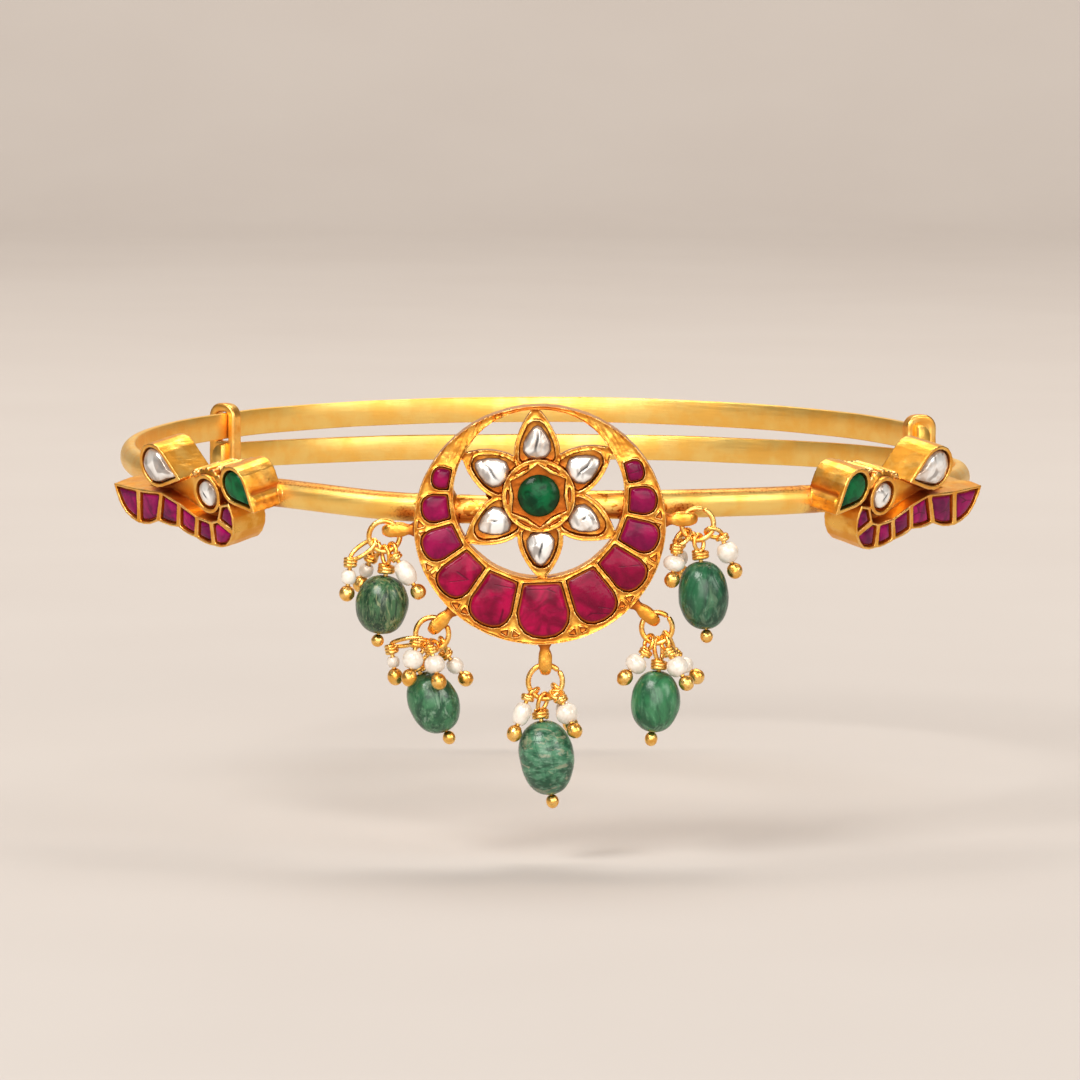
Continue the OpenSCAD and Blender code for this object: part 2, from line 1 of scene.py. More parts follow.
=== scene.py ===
"""A gold vanki armlet with kundan-set stones and drops of green beads and seed pearls."""

from math import asin, atan, cos, degrees, hypot, pi, radians, sin, sqrt, tan

import bmesh
import bpy
import numpy as np
from mathutils import Matrix, Vector, kdtree, noise
from mathutils.bvhtree import BVHTree


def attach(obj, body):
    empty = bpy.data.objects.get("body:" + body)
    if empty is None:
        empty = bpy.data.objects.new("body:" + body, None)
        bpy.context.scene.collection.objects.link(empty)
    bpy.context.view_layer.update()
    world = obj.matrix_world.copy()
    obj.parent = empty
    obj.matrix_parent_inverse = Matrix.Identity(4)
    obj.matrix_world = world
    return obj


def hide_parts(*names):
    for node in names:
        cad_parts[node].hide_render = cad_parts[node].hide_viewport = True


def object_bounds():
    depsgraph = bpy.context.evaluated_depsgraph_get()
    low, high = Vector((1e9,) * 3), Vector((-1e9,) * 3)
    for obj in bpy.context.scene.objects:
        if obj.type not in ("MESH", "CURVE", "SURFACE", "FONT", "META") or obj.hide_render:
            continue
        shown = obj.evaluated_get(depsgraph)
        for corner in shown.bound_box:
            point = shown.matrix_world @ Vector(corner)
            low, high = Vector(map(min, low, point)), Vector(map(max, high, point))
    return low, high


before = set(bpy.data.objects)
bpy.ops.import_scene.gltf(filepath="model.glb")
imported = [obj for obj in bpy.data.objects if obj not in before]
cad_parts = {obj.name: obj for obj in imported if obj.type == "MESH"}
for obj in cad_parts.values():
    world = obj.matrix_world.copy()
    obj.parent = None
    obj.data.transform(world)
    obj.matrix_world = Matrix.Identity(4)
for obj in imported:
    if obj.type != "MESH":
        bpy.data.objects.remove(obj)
cad_low, cad_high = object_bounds()

MM = 0.001
UP = Vector((0, 0, 1))
BACK = Vector((0, 1, 0))

# Hoop, as in the part's source
ARM_D = 78.0
ROD_H = 2.55
ROD_T = 1.4
ROD_EDGE = 0.4
BAR_GAP = 0.1
BAR_END = 0.6
LEFT_COLLAR = 127.0
RIGHT_COLLAR = 113.0
COLLAR_W = 1.35
COLLAR_WALL = 0.85
SLIDE_GAP = 0.12
OUTER_R = ARM_D / 2 + ROD_T
MEAN_R = (ARM_D + ROD_T) / 2
ARM_TILT = degrees(atan(
    (ROD_H + BAR_GAP) / 2 / (MEAN_R * (1 - cos(radians(RIGHT_COLLAR))))))

# Crescent
CRESCENT_W = 22.4
CRESCENT_H = 21.3
CRESCENT_LEFT = 0.45
CRESCENT_DROP = 1.65
CRESCENT_ROLL = 2.4
CRESCENT_FACE = OUTER_R + 1.2
HOLE_W = 15.25
HOLE_H = 14.75
HOLE_UP = 2.66
HORN_FROM = 112.0
HORN_TO = 172.0
BOSS_PROUD = 0.25
STAR_REACH = 2.95
PETALS = (30, 90, 150, 210, 270, 330)
# How far the left rod has been bent down beside the crescent, and the angles from the
# crescent between which the bend begins and ends
DROOP = 0.5
DROOP_FROM = (2, 7)
DROOP_TO = (17, 38)
# Where solder has run on the rods, as angles from the crescent
SOLDER_AT = (17.8, 37.5)

# Bird motifs
BIRD_PROUD = 2.35
BIRD_ANGLE = 48.4
BIRD_TILT = 12.0
BIRD_BACK = -8.7
BIRD_FRONT = 12.2
BEAK_SIDE = 8.3
NECK_RAISED = 0.45

# Drops
LUG_ROOT = 0.5
LUG_STRAP = 0.45
LUG_LEN = 2.85
LUG_BITE = 0.3
EYE_H = 0.75
RING_WIRE = 0.45
RING_D = 2.85
PIN_WIRE = 0.34
LOOP_D = 1.1
PEARL_BALL = 1.4
BEAD_BALL = 1.15
BEAD_W = 4.65
BEAD_H = 5.9
NECK = 2.0
PEARL_D = 1.85
COIL_SIDES = 18
HANG_GAP = 0.08
BALL_GAP = 0.05
LUG_BACK = 0.5
DROP_Y = (EYE_H + 2 * LUG_STRAP) / 2 + LUG_BACK - CRESCENT_FACE

# Name: angle of the lug, place of the ring's wire in it, swing and size of the ring, neck, then
# the bead's swing, width, length, tilt and look
DROPS = {
    "left": (-90, 0.47, -65, 0.96, 1.07, -2, 1.02, 0.89, -7, "mottled"),
    "lower_left": (-47.7, 0.43, -35, 1.03, 0.92, 1, 0.95, 0.965, 24, "blotched"),
    "bottom": (0, 0.85, 0, 1.07, 0.98, 1, 1.05, 1.135, 8, "pale"),
    "lower_right": (47.7, 0.67, 34, 0.96, 1.25, -1, 0.945, 0.935, -6, "clear"),
    "right": (90, 0.55, 70, 0.99, 0.96, 5, 0.97, 1.035, 4.6, "deep"),
}
# For each drop, its pearls: place round the bead, lean of the pin, width, length, angle of
# the loop
PEARLS = {
    "left": [((-1.06, 0, 0.63), (-0.11, 0), 0.74, 0.8, -62),
             ((-0.59, 0.6, 0.81), (-0.4, 0.3), 0.73, 0.73, -31),
             ((0.55, -0.25, 0.91), (0.66, -0.1), 0.93, 1.35, 33)],
    "lower_left": [((-0.66, 0.25, 1.37), (0.13, 0), 0.62, 0.64, -62),
                   ((0.01, -0.6, 1.18), (-0.2, -0.15), 1, 0.98, -30),
                   ((0.52, -0.67, 0.87), (0.25, -0.2), 1, 0.88, 29),
                   ((1.03, 0.45, 0.58), (0.78, 0.1), 0.81, 0.83, 62)],
    "bottom": [((-0.5, -0.35, 1.05), (-0.37, -0.15), 0.87, 1.2, -42),
               ((0.69, -0.35, 0.88), (0.45, -0.2), 1.1, 0.99, 36),
               ((0.66, 0.75, 0.9), (0.4, 0.35), 0.87, 0.87, 66)],
    "lower_right": [((-0.66, -0.25, 0.88), (-0.82, -0.1), 1.05, 0.9, -42),
                    ((0.5, -0.3, 0.92), (0.57, -0.15), 1.05, 0.98, 32),
                    ((0.8, 0.62, 0.95), (1, 0.15), 0.8, 0.8, 62)],
    "right": [((-0.74, -0.25, 0.78), (-0.14, -0.05), 1.05, 0.8, -57),
              ((0.76, 0.1, 0.9), (0.39, 0), 1.04, 1.06, 55),
              ((-0.6, 0.88, 0.85), (0.1, 0.3), 0.78, 0.78, -28)],
}

# Where the unevenness of each kind of piece starts from
STONE_SEED = 1894
BEAD_SEED, RING_SEED, PIN_SEED = 20, 40, 60
PEARL_SEED, PEARL_PIN_SEED = 80, 120
# How finely the skins are made, and the most triangles that are kept
CRESCENT_VOXEL, CRESCENT_MOST = 0.066, 190000
BIRD_VOXEL, BIRD_MOST = 0.078, 100000
COLLAR_VOXEL = 0.09
RUBIES_MOST = 30000
# A setting's face: how deep it is, and the largest y that the normals on it have
FACE_DEEP = 0.3
FACE_NORMAL = -0.75

# Camera, as the photograph was taken, and the studio round it
CAMERA_AT = (0, -597.406, 55.735)
CAMERA_DOWN = 6.024
CAMERA_LEFT = 0.045
CAMERA_ROLL = 0.176
CAMERA_LENS = 209.8
SENSOR = 36.0
FLOOR_GAP = 5.0
# Name, place, width, height, watts, colour, and the point that it is aimed at, in metres
LIGHTS = [
    ("key_light", (-0.45, -0.6, 0.75), 0.42, 0.42, 7.0, (1, 0.97, 0.92), (0, 0, 0)),
    ("fill_light", (0.75, -0.5, 0.4), 0.35, 0.5, 2.4, (1, 0.97, 0.93), (0, 0, 0)),
    ("top_light", (0.05, 0.4, 0.8), 0.7, 0.3, 2.6, (1, 0.98, 0.95), (0, 0, 0)),
    ("front_light", (0.05, -1.1, 0.46), 1.0, 0.5, 6.4, (1, 0.96, 0.9), (0, 0, 0)),
    ("low_light", (0, -1.6, 0.12), 1.6, 0.34, 4.2, (1, 0.97, 0.93), (0, 0, 0)),
    ("wall_light", (0, 0.3, 1.1), 1.4, 0.3, 11.5, (1, 0.9, 0.8), (0, 1.3, 0.3)),
]

# Materials
# GOLD_PALE lightens convex edges as a painted highlight. GOLD_SHADE and the darkest gold below
# it paint shade into hollows and creases, and also colour solder, flecks, pits and dirty
# specks.
GOLD_PALE = (1.0, 0.7, 0.3)
GOLD_BRIGHT = (1.0, 0.61, 0.17)
GOLD_DEEP = (0.94, 0.45, 0.08)
GOLD_SHADE = (0.46, 0.12, 0.016)
GOLD_DIRT_AND_SHADE = (0.34, 0.085, 0.012)


def both_ways(operation):
    """An operator with a value before it, and its reflected form."""
    return (lambda self, other: self.maths(operation, self, other),
            lambda self, other: self.maths(operation, other, self))


class Value:
    """An output of a material's node that takes part in sums as a number does."""

    def __init__(self, finish, socket):
        self.finish, self.socket = finish, socket

    def maths(self, operation, *values):
        return self.finish.node("Math", {"operation": operation}, dict(enumerate(values)))

    __add__, __radd__ = both_ways("ADD")
    __sub__, __rsub__ = both_ways("SUBTRACT")
    __mul__, __rmul__ = both_ways("MULTIPLY")
    __truediv__, __rtruediv__ = both_ways("DIVIDE")
    __pow__, __rpow__ = both_ways("POWER")

    def between(self, low, high):
        """0 at low and 1 at high, and held there beyond them."""
        return self.finish.node(
            "MapRange", {"interpolation_type": "SMOOTHSTEP"},
            {"Value": self, "From Min": low, "From Max": high})


class Finish:
    """A material that is put together node by node."""

    def __init__(self, name):
        self.material = bpy.data.materials.new(name)
        self.material.use_nodes = True
        self.tree = self.material.node_tree
        self.tree.nodes.clear()

    def node(self, kind, settings=None, sockets=None, output=0):
        made = self.tree.nodes.new("ShaderNode" + kind)
        for name, value in (settings or {}).items():
            setattr(made, name, value)
        for name, value in (sockets or {}).items():
            socket = made.inputs[name]
            if isinstance(value, Value):
                self.tree.links.new(value.socket, socket)
            else:
                socket.default_value = (*value, 1) if socket.type == "RGBA" else value
        return Value(self, made.outputs[output])

    def place(self, scale=(1, 1, 1), turn=(0, 0, 0)):
        """Where a point is on the object, in millimetres, stretched by scale."""
        at = self.node("TexCoord", output="Object")
        return self.node(
            "Mapping", {"vector_type": "POINT"},
            {"Vector": at, "Scale": tuple(s / MM for s in scale), "Rotation": turn})

    def grain(self, size, detail=3.0, stretch=(1, 1, 1), turn=(0, 0, 0), warp=0.0):
        """Cloudy noise whose features are about size millimetres across."""
        return self.node(
            "TexNoise", {"noise_dimensions": "3D"},
            {"Vector": self.place(stretch, turn), "Scale": 1 / size,
             "Detail": detail, "Roughness": 0.55, "Distortion": warp})

    def cracks(self, size, stretch=(1, 1, 1), turn=(0, 0, 0)):
        """Distance to the edges of irregular cells about size millimetres across."""
        return self.node(
            "TexVoronoi", {"feature": "DISTANCE_TO_EDGE"},
            {"Vector": self.place(stretch, turn), "Scale": 1 / size})

    def mark(self, name):
        """A value that was written on the points of the mesh."""
        return self.node(
            "Attribute", {"attribute_type": "GEOMETRY", "attribute_name": name},
            output="Fac")

    def painted(self, colour, *coats):
        """A colour under coats, each of them a share and a colour."""
        for share, coat in coats:
            colour = self.node(
                "Mix", {"data_type": "RGBA"}, {0: share, 6: colour, 7: coat}, output=2)
        return colour

    def surface(self, colour, roughness, relief=0.0, deep=0.0, **sockets):
        """Ends the material in one surface, with a relief, from 0 to 1, that is deep
        millimetres deep. Other sockets are named with _ for a space."""
        if deep:
            sockets["Normal"] = self.node(
                "Bump", None, {"Height": relief, "Distance": deep * MM, "Strength": 1.0})
        shade = self.node(
            "BsdfPrincipled", None, {"Base Color": colour, "Roughness": roughness, **{
                name.replace("_", " "): value for name, value in sockets.items()}})
        end = self.tree.nodes.new("ShaderNodeOutputMaterial")
        self.tree.links.new(shade.socket, end.inputs["Surface"])
        return self.material


def worked_gold(name, bright, deep, rough, brushed=None, dents=0.03):
    """Gold that is burnished and lightened by a painted highlight on its edges, cloudy on its
    faces, and darkened to orange by painted shade in its hollows and creases. brushed is the
    size and the stretch of its lines."""
    f = Finish(name)
    cloud, soft, fine = f.grain(1.6, 4), f.grain(0.7, 2), f.grain(0.14, 4)
    hollow, crest = f.mark("hollow"), f.mark("crest")
    # Convex edges are burnished, and lightened to pale gold as a painted highlight.
    burnish_and_highlight = crest.between(0.3, 0.9)
    colour = f.painted(
        bright,
        (cloud.between(0.34, 0.58), deep),
        (f.grain(0.28, 5).between(0.6, 0.76) * 0.25, GOLD_SHADE),
        (burnish_and_highlight * 0.6, GOLD_PALE),
        # Creases and hollows are darkened by painted shade; the hollow mark also carries solder
        # and dark file marks.
        ((crest * -1.0).between(0.2, 0.75) * 0.85, GOLD_SHADE),
        (hollow.between(0.0, 0.9), GOLD_SHADE),
        (hollow.between(0.75, 1.1) * soft.between(0.3, 0.6), GOLD_DIRT_AND_SHADE))
    relief = soft * 0.6 + fine * 0.4
    roughness = rough + (cloud - 0.5) * 0.25 + fine * 0.12 + hollow * 0.15 - burnish_and_highlight * 0.08
    if brushed:
        lines = f.grain(brushed[0], 2, brushed[1])
        relief = relief * 0.45 + lines * 0.55
        roughness = roughness + (lines - 0.5) * 0.2
    return f.surface(colour, roughness, relief, dents, Metallic=1.0)


def brushed_rod():
    """Gold rod, brushed along its length round the hoop."""
    f = Finish("rod_gold")
    at = f.node("TexCoord", output="Object")
    x, y, z = (f.node("SeparateXYZ", None, {0: at}, axis) / MM for axis in "XYZ")
    along = x.maths("ARCTAN2", x, y) * OUTER_R
    across = (x * x + y * y) ** 0.5
    round_hoop = f.node("CombineXYZ", None, {0: along * 0.12, 1: across * 3, 2: z * 3})
    lines = f.node("TexNoise", None, {"Vector": round_hoop, "Scale": 3.0, "Detail": 3.0})
    cloud = f.grain(2.6, 4)
    hollow = f.mark("hollow")
    colour = f.painted(
        (1.0, 0.68, 0.2),
        (cloud.between(0.35, 0.65), (0.98, 0.57, 0.12)),
        (hollow.between(0.2, 0.9) * 0.7, GOLD_SHADE),
        (hollow * f.grain(0.22, 4).between(0.5, 0.62), GOLD_DIRT_AND_SHADE))
    relief = lines * 0.35 + f.grain(0.9, 2) * 0.5 + f.grain(0.2, 3) * 0.15
    return f.surface(
        colour, 0.4 + (lines - 0.5) * 0.35 + (cloud - 0.5) * 0.2, relief, 0.035, Metallic=1.0)


def polished_wire():
    f = Finish("wire_gold")
    cloud, pits = f.grain(0.8, 3), f.grain(0.3, 3)
    colour = f.painted(
        (1.0, 0.65, 0.21),
        (cloud.between(0.35, 0.65), (0.9, 0.45, 0.08)),
        (pits.between(0.58, 0.72) * 0.6, GOLD_SHADE))
    return f.surface(colour, 0.2 + cloud * 0.16, pits, 0.035, Metallic=1.0)


def ruby_glass(name, bright, deep):
    """Foil-backed ruby: crimson where the foil shines through, maroon at its cloudy parts."""
    f = Finish(name)
    wisps = f.grain(0.5, 4, (0.35, 1, 1), (0.2, 0.5, 0.3))
    crack = f.cracks(3.4, (0.45, 1, 1.3), (0.3, 0.9, 0.2))
    flaw = (1 - crack.between(0.0, 0.025)) * f.grain(2.2, 1).between(0.5, 0.58)
    edge = f.mark("edge")
    colour = f.painted(
        deep,
        (f.grain(1.9, 3, warp=0.6).between(0.3, 0.7), bright),
        (wisps.between(0.6, 0.8) * 0.25, (0.5, 0.015, 0.15)),
        (f.mark("tone") * 0.6, deep),
        (flaw * 0.8, (0.06, 0.0, 0.012)),
        (edge.between(0.0, 0.5) * 0.75, (0.16, 0.008, 0.015)),
        (edge.between(0.45, 0.8), (0.42, 0.12, 0.02)))
    return f.surface(
        colour, 0.1 + wisps * 0.08, f.grain(0.9, 2) - flaw * 0.3, 0.03,
        IOR=1.48, Specular_IOR_Level=0.2)


def silvery_polki():
    """Uncut diamond over foil: white to grey, with long streaks and a dark crease."""
    f = Finish("silvery_polki")
    streak = f.grain(1.4, 1.5, (1.2, 1.2, 0.75), (0.0, 0.5, 0.0), warp=0.7)
    cloud = f.grain(1.5, 2, warp=0.8)
    edge = f.mark("edge")
    colour = f.painted(
        (0.4, 0.37, 0.35),
        (streak.between(0.38, 0.54), (0.98, 0.97, 0.95)),
        (cloud.between(0.52, 0.7) * 0.6, (0.66, 0.52, 0.42)),
        (f.mark("rim") * 0.9, (0.42, 0.28, 0.19)),
        (f.mark("crease"), (0.02, 0.018, 0.02)),
        (edge.between(0.0, 0.6) * 0.5, (0.42, 0.34, 0.28)),
        (edge.between(0.55, 1.0), (0.34, 0.12, 0.02)))
    return f.surface(
        colour, 0.12 + cloud * 0.12, streak, 0.1, Metallic=0.5, IOR=1.9,
        Coat_Weight=0.4, Coat_Roughness=0.03)


def emerald_glass(name, bright, deep):
    f = Finish(name)
    cloud = f.grain(1.3, 3, warp=0.8)
    colour = f.painted(
        deep,
        (cloud.between(0.35, 0.65), bright),
        (f.grain(0.35, 4).between(0.6, 0.8) * 0.2, (0.02, 0.2, 0.09)),
        (f.mark("edge") * 0.7, (0.012, 0.025, 0.008)))
    return f.surface(
        colour, 0.12 + cloud * 0.08, f.grain(0.8, 3), 0.04, IOR=1.5, Specular_IOR_Level=0.15)


def green_stone(name, bright, deep, vein, vein_share, patch, patch_share, size, stretch):
    """Polished green bead stone with veins and pale patches, drawn out by stretch."""
    f = Finish(name)
    cloud = f.grain(size, 5, stretch, warp=0.9)
    speck = f.grain(size * 0.28, 5, stretch)
    spots = f.grain(size * 0.9, 3, stretch, warp=1.2)
    fissure = 1 - f.cracks(size * 1.3, (1, 1, 0.5), (0.4, 0.2, 0)).between(0.0, 0.03)
    colour = f.painted(
        deep,
        (cloud.between(0.4, 0.6), bright),
        (speck.between(0.48, 0.68) * vein_share, vein),
        (spots.between(0.55, 0.66) * patch_share, patch),
        (fissure * 0.4, deep))
    return f.surface(
        colour, 0.17 + speck * 0.16, cloud * 0.7 - fissure * 0.3, 0.03, IOR=1.5)


def pearl_lustre():
    f = Finish("pearl")
    cloud = f.grain(0.9, 3)
    colour = f.painted((0.68, 0.6, 0.51), (cloud.between(0.35, 0.65), (0.83, 0.78, 0.71)))
    return f.surface(
        colour, 0.2 + cloud * 0.1, f.grain(0.4, 2, (1, 1, 2.4)), 0.006, IOR=1.6,
        Subsurface_Weight=0.2, Subsurface_Radius=(0.5, 0.45, 0.4),
        Subsurface_Scale=0.4 * MM, Coat_Weight=0.8, Coat_Roughness=0.1, Sheen_Weight=0.15)


setting_gold = worked_gold("setting_gold", (0.93, 0.48, 0.09), (0.76, 0.31, 0.04), 0.24)
box_gold = worked_gold("box_gold", (0.97, 0.55, 0.12), (0.86, 0.38, 0.045), 0.29,
                       (0.28, (0.12, 0.12, 1.0)), 0.04)
collar_gold = worked_gold("collar_gold", GOLD_BRIGHT, GOLD_DEEP, 0.28)
rod_gold = brushed_rod()
wire_gold = polished_wire()
ruby_bright = ruby_glass("ruby_crimson", (0.43, 0.001, 0.058), (0.13, 0.0, 0.018))
ruby_side = ruby_glass("ruby_magenta", (0.4, 0.002, 0.085), (0.13, 0.001, 0.034))
bird_ruby = ruby_glass("ruby_purple", (0.38, 0.002, 0.115), (0.085, 0.001, 0.038))
polki = silvery_polki()
cabochon_green = emerald_glass("cabochon_green", (0.001, 0.115, 0.036), (0.0, 0.028, 0.01))
flat_green = emerald_glass("flat_green", (0.0, 0.13, 0.035), (0.0, 0.05, 0.014))
pearl = pearl_lustre()
# Look: bright, deep, vein and its share, patch and its share, size, stretch
BEAD_LOOKS = {look: green_stone("bead_" + look, *settings) for look, settings in {
    "mottled": ((0.045, 0.125, 0.05), (0.006, 0.032, 0.013), (0.17, 0.23, 0.12), 0.5,
                (0.29, 0.31, 0.15), 0.65, 1.0, (1.6, 1.6, 0.4)),
    "blotched": ((0.04, 0.165, 0.07), (0.011, 0.062, 0.028), (0.15, 0.32, 0.18), 0.45,
                 (0.27, 0.4, 0.3), 0.55, 1.7, (1.2, 1.2, 0.8)),
    "pale": ((0.06, 0.205, 0.11), (0.012, 0.07, 0.034), (0.19, 0.35, 0.24), 0.5,
             (0.37, 0.35, 0.24), 0.55, 1.3, (0.6, 0.6, 1.5)),
    "clear": ((0.03, 0.17, 0.066), (0.012, 0.08, 0.033), (0.12, 0.34, 0.18), 0.35,
              (0.2, 0.4, 0.24), 0.35, 2.2, (1.3, 1.3, 0.45)),
    "deep": ((0.015, 0.105, 0.043), (0.006, 0.048, 0.022), (0.1, 0.25, 0.15), 0.4,
             (0.19, 0.29, 0.18), 0.35, 1.8, (1.3, 1.3, 0.5)),
}.items()}


# Making pieces
def bare_object(name, data):
    made = bpy.data.objects.new(name, data)
    bpy.context.scene.collection.objects.link(made)
    return made


def piece(name, mesh, finish, slot, *nodes):
    """Puts a mesh in millimetres on the armlet, in place of its CAD nodes."""
    mesh.transform(Matrix.Scale(MM, 4))
    mesh.name = name
    mesh.materials.clear()
    mesh.materials.append(finish)
    mesh.shade_smooth()
    made = bare_object(name, mesh)
    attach(made, "root")
    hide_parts(*nodes)


def mesh_of(points, faces):
    mesh = bpy.data.meshes.new("form")
    mesh.from_pydata([tuple(p) for p in points], [], faces)
    mesh.update()
    return mesh


def marks_of(mesh):
    """The values written on the points of a mesh, by name."""
    marks = {}
    for mark in mesh.attributes:
        if mark.data_type == "FLOAT" and mark.domain == "POINT":
            marks[mark.name] = np.empty(len(mesh.vertices), np.float32)
            mark.data.foreach_get("value", marks[mark.name])
    return marks


def joined(meshes):
    """One mesh of several, which have the same marks."""
    points, faces, marks = [], [], {}
    for mesh in meshes:
        start = len(points)
        points.extend(v.co.copy() for v in mesh.vertices)
        faces.extend([start + i for i in p.vertices] for p in mesh.polygons)
        for name, values in marks_of(mesh).items():
            marks.setdefault(name, []).append(values)
    whole = mesh_of(points, faces)
    for name, values in marks.items():
        write_mark(whole, name, np.concatenate(values))
    return whole


def solids(mesh):
    """The separate solids of a mesh, each as a mesh of its own."""
    home = list(range(len(mesh.vertices)))

    def first(i):
        while home[i] != i:
            i = home[i]
        return i

    for edge in mesh.edges:
        a, b = sorted(first(i) for i in edge.vertices)
        home[b] = a
    groups = {}
    for face in mesh.polygons:
        groups.setdefault(first(face.vertices[0]), []).append(tuple(face.vertices))
    made = []
    for key in sorted(groups):
        used = sorted({i for face in groups[key] for i in face})
        row = {i: k for k, i in enumerate(used)}
        made.append(mesh_of([mesh.vertices[i].co.copy() for i in used],
                            [[row[i] for i in face] for face in groups[key]]))
    return made


def cad_form(node, planes=()):
    """A copy of a CAD node's form in millimetres, cut off and closed at planes."""
    form = bmesh.new()
    form.from_mesh(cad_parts[node].data)
    bmesh.ops.scale(form, vec=(1 / MM,) * 3, verts=form.verts)
    bmesh.ops.remove_doubles(form, verts=form.verts, dist=1e-4)
    for at, out in planes:
        cut = bmesh.ops.bisect_plane(
            form, geom=form.verts[:] + form.edges[:] + form.faces[:], dist=1e-5,
            plane_co=at, plane_no=out, clear_outer=True)
        rims = [e for e in cut["geom_cut"] if isinstance(e, bmesh.types.BMEdge)]
        bmesh.ops.holes_fill(form, edges=rims, sides=0)
    bmesh.ops.triangulate(form, faces=form.faces)
    mesh = bpy.data.meshes.new(node + "_form")
    form.to_mesh(mesh)
    form.free()
    return mesh


def worked(mesh, steps):
    """The mesh after modifiers, each a kind and its settings."""
    scratch = bare_object("scratch", mesh)
    for kind, settings in steps:
        modifier = scratch.modifiers.new(kind, kind)
        for name, value in settings.items():
            setattr(modifier, name, value)
    done = bpy.data.meshes.new_from_object(
        scratch.evaluated_get(bpy.context.evaluated_depsgraph_get()))
    bpy.data.objects.remove(scratch)
    return done


def skinned(mesh, voxel, rounds):
    """One even skin over the mesh, with its edges softened as hand-worked metal is."""
    return worked(mesh, [
        ("REMESH", {"mode": "VOXEL", "voxel_size": voxel, "adaptivity": 0.0}),
        ("SMOOTH", {"factor": 0.5, "iterations": rounds}),
    ])


def points_of(mesh, kind="co"):
    values = np.empty(len(mesh.vertices) * 3)
    mesh.vertices.foreach_get(kind, values)
    return values.reshape(-1, 3)


def normals_of(mesh):
    return points_of(mesh, "normal")


def set_points(mesh, points):
    mesh.vertices.foreach_set("co", np.asarray(points, float).ravel())
    mesh.update()


def push_out(mesh, height):
    """Moves each point of a mesh by a height along its normal."""
    set_points(mesh, points_of(mesh) + normals_of(mesh) * np.reshape(height, (-1, 1)))


def write_mark(mesh, name, values):
    mark = mesh.attributes.get(name) or mesh.attributes.new(name, "FLOAT", "POINT")
    mark.data.foreach_set("value", np.asarray(values, np.float32))


def spread(mesh, values, rounds):
    """Values on the points of a mesh, evened out along its edges."""
    edges = np.empty(len(mesh.edges) * 2, int)
    mesh.edges.foreach_get("vertices", edges)
    edges = edges.reshape(-1, 2)
    count = len(mesh.vertices)
    degree = np.maximum(np.bincount(edges.ravel(), minlength=count), 1)
    values = np.array(values, float).reshape(count, -1)
    for _ in range(rounds):
        total = np.empty_like(values)
        for column in range(values.shape[1]):
            near = values[:, column]
            total[:, column] = np.bincount(edges[:, 0], near[edges[:, 1]], count)
            total[:, column] += np.bincount(edges[:, 1], near[edges[:, 0]], count)
        values = (values + total / degree[:, None]) / 2
    return values


def mark_hollows(mesh, least=0.0, reach=1.6, ways=30, lift=0.05, grazing=0.2, free=0.22,
                 span=0.5):
    """Marks hollow from 0 in the open to 1 where the form around it hides most of the sky,
    and at least as high as least. A share of the sky up to free counts as open. The gold's
    colour is darkened by this mark, as painted shade."""
    points, normals = points_of(mesh), normals_of(mesh)
    tree = BVHTree.FromPolygons(
        [tuple(p) for p in points], [tuple(p.vertices) for p in mesh.polygons])
    k = np.arange(ways) + 0.5
    fall, round_sky = np.arccos(1 - 2 * k / ways), pi * (1 + sqrt(5)) * k
    sky = np.stack([np.cos(round_sky) * np.sin(fall), np.sin(round_sky) * np.sin(fall),
                    np.cos(fall)], axis=1)
    steep = normals @ sky.T
    hidden = np.zeros(len(points))
    rays = [Vector(way) for way in sky]
    for i, start in enumerate(points + normals * lift):
        start = Vector(start)
        total = 0
        for way, lean in zip(rays, steep[i]):
            if lean > grazing:
                total += lean
                if tree.ray_cast(start, way, reach)[0] is not None:
                    hidden[i] += lean
        hidden[i] /= max(total, grazing)
    hidden = np.clip((spread(mesh, hidden, 2)[:, 0] - free) / span, 0, 1)
    write_mark(mesh, "hollow", np.maximum(hidden, least))


def bend_of(mesh, rounds):
    """How far each point stands out from the form around it."""
    points = points_of(mesh)
    return ((points - spread(mesh, points, rounds)) * normals_of(mesh)).sum(1)


def mark_crests(mesh, rounds=9, sharp=0.045):
    """Marks crest from -1 in a crease to 1 on an edge."""
    bend = spread(mesh, bend_of(mesh, rounds), 2)[:, 0]
    write_mark(mesh, "crest", np.clip(bend / sharp, -1, 1))


def raise_lips(mesh, on_face, rounds=14, deep=0.12, edge=0.025, soft=3):
    """Sinks the open parts of a face a little, so that its edges stand up as rounded lips."""
    flat = np.clip(1 - bend_of(mesh, rounds) / edge, 0, 1) * on_face
    push_out(mesh, -deep * spread(mesh, flat, soft)[:, 0])


def cloud(points, size, seed):
    """Smooth noise from -1 to 1 at points, with features about size across."""
    shift = Vector((seed * 7.3, seed * 3.1, seed * 5.7))
    return np.array([noise.noise(Vector(p) / size + shift) for p in points])


def transformed(points, matrix):
    points = np.asarray(points, float)
    m = np.array(matrix)
    return points @ m[:3, :3].T + m[:3, 3]


def turn(axis, angle):
    return Matrix.Rotation(radians(angle), 4, axis)


def thinned(mesh, most):
    """The mesh with at most that many triangles, its marks carried over."""
    count = sum(len(p.vertices) - 2 for p in mesh.polygons)
    if count <= most:
        return mesh
    less = worked(mesh, [("DECIMATE", {"ratio": most / count})])
    tree = kdtree.KDTree(len(mesh.vertices))
    for i, v in enumerate(mesh.vertices):
        tree.insert(v.co, i)
    tree.balance()
    nearest = [tree.find(v.co)[1] for v in less.vertices]
    for name, values in marks_of(mesh).items():
        write_mark(less, name, values[nearest])
    return less


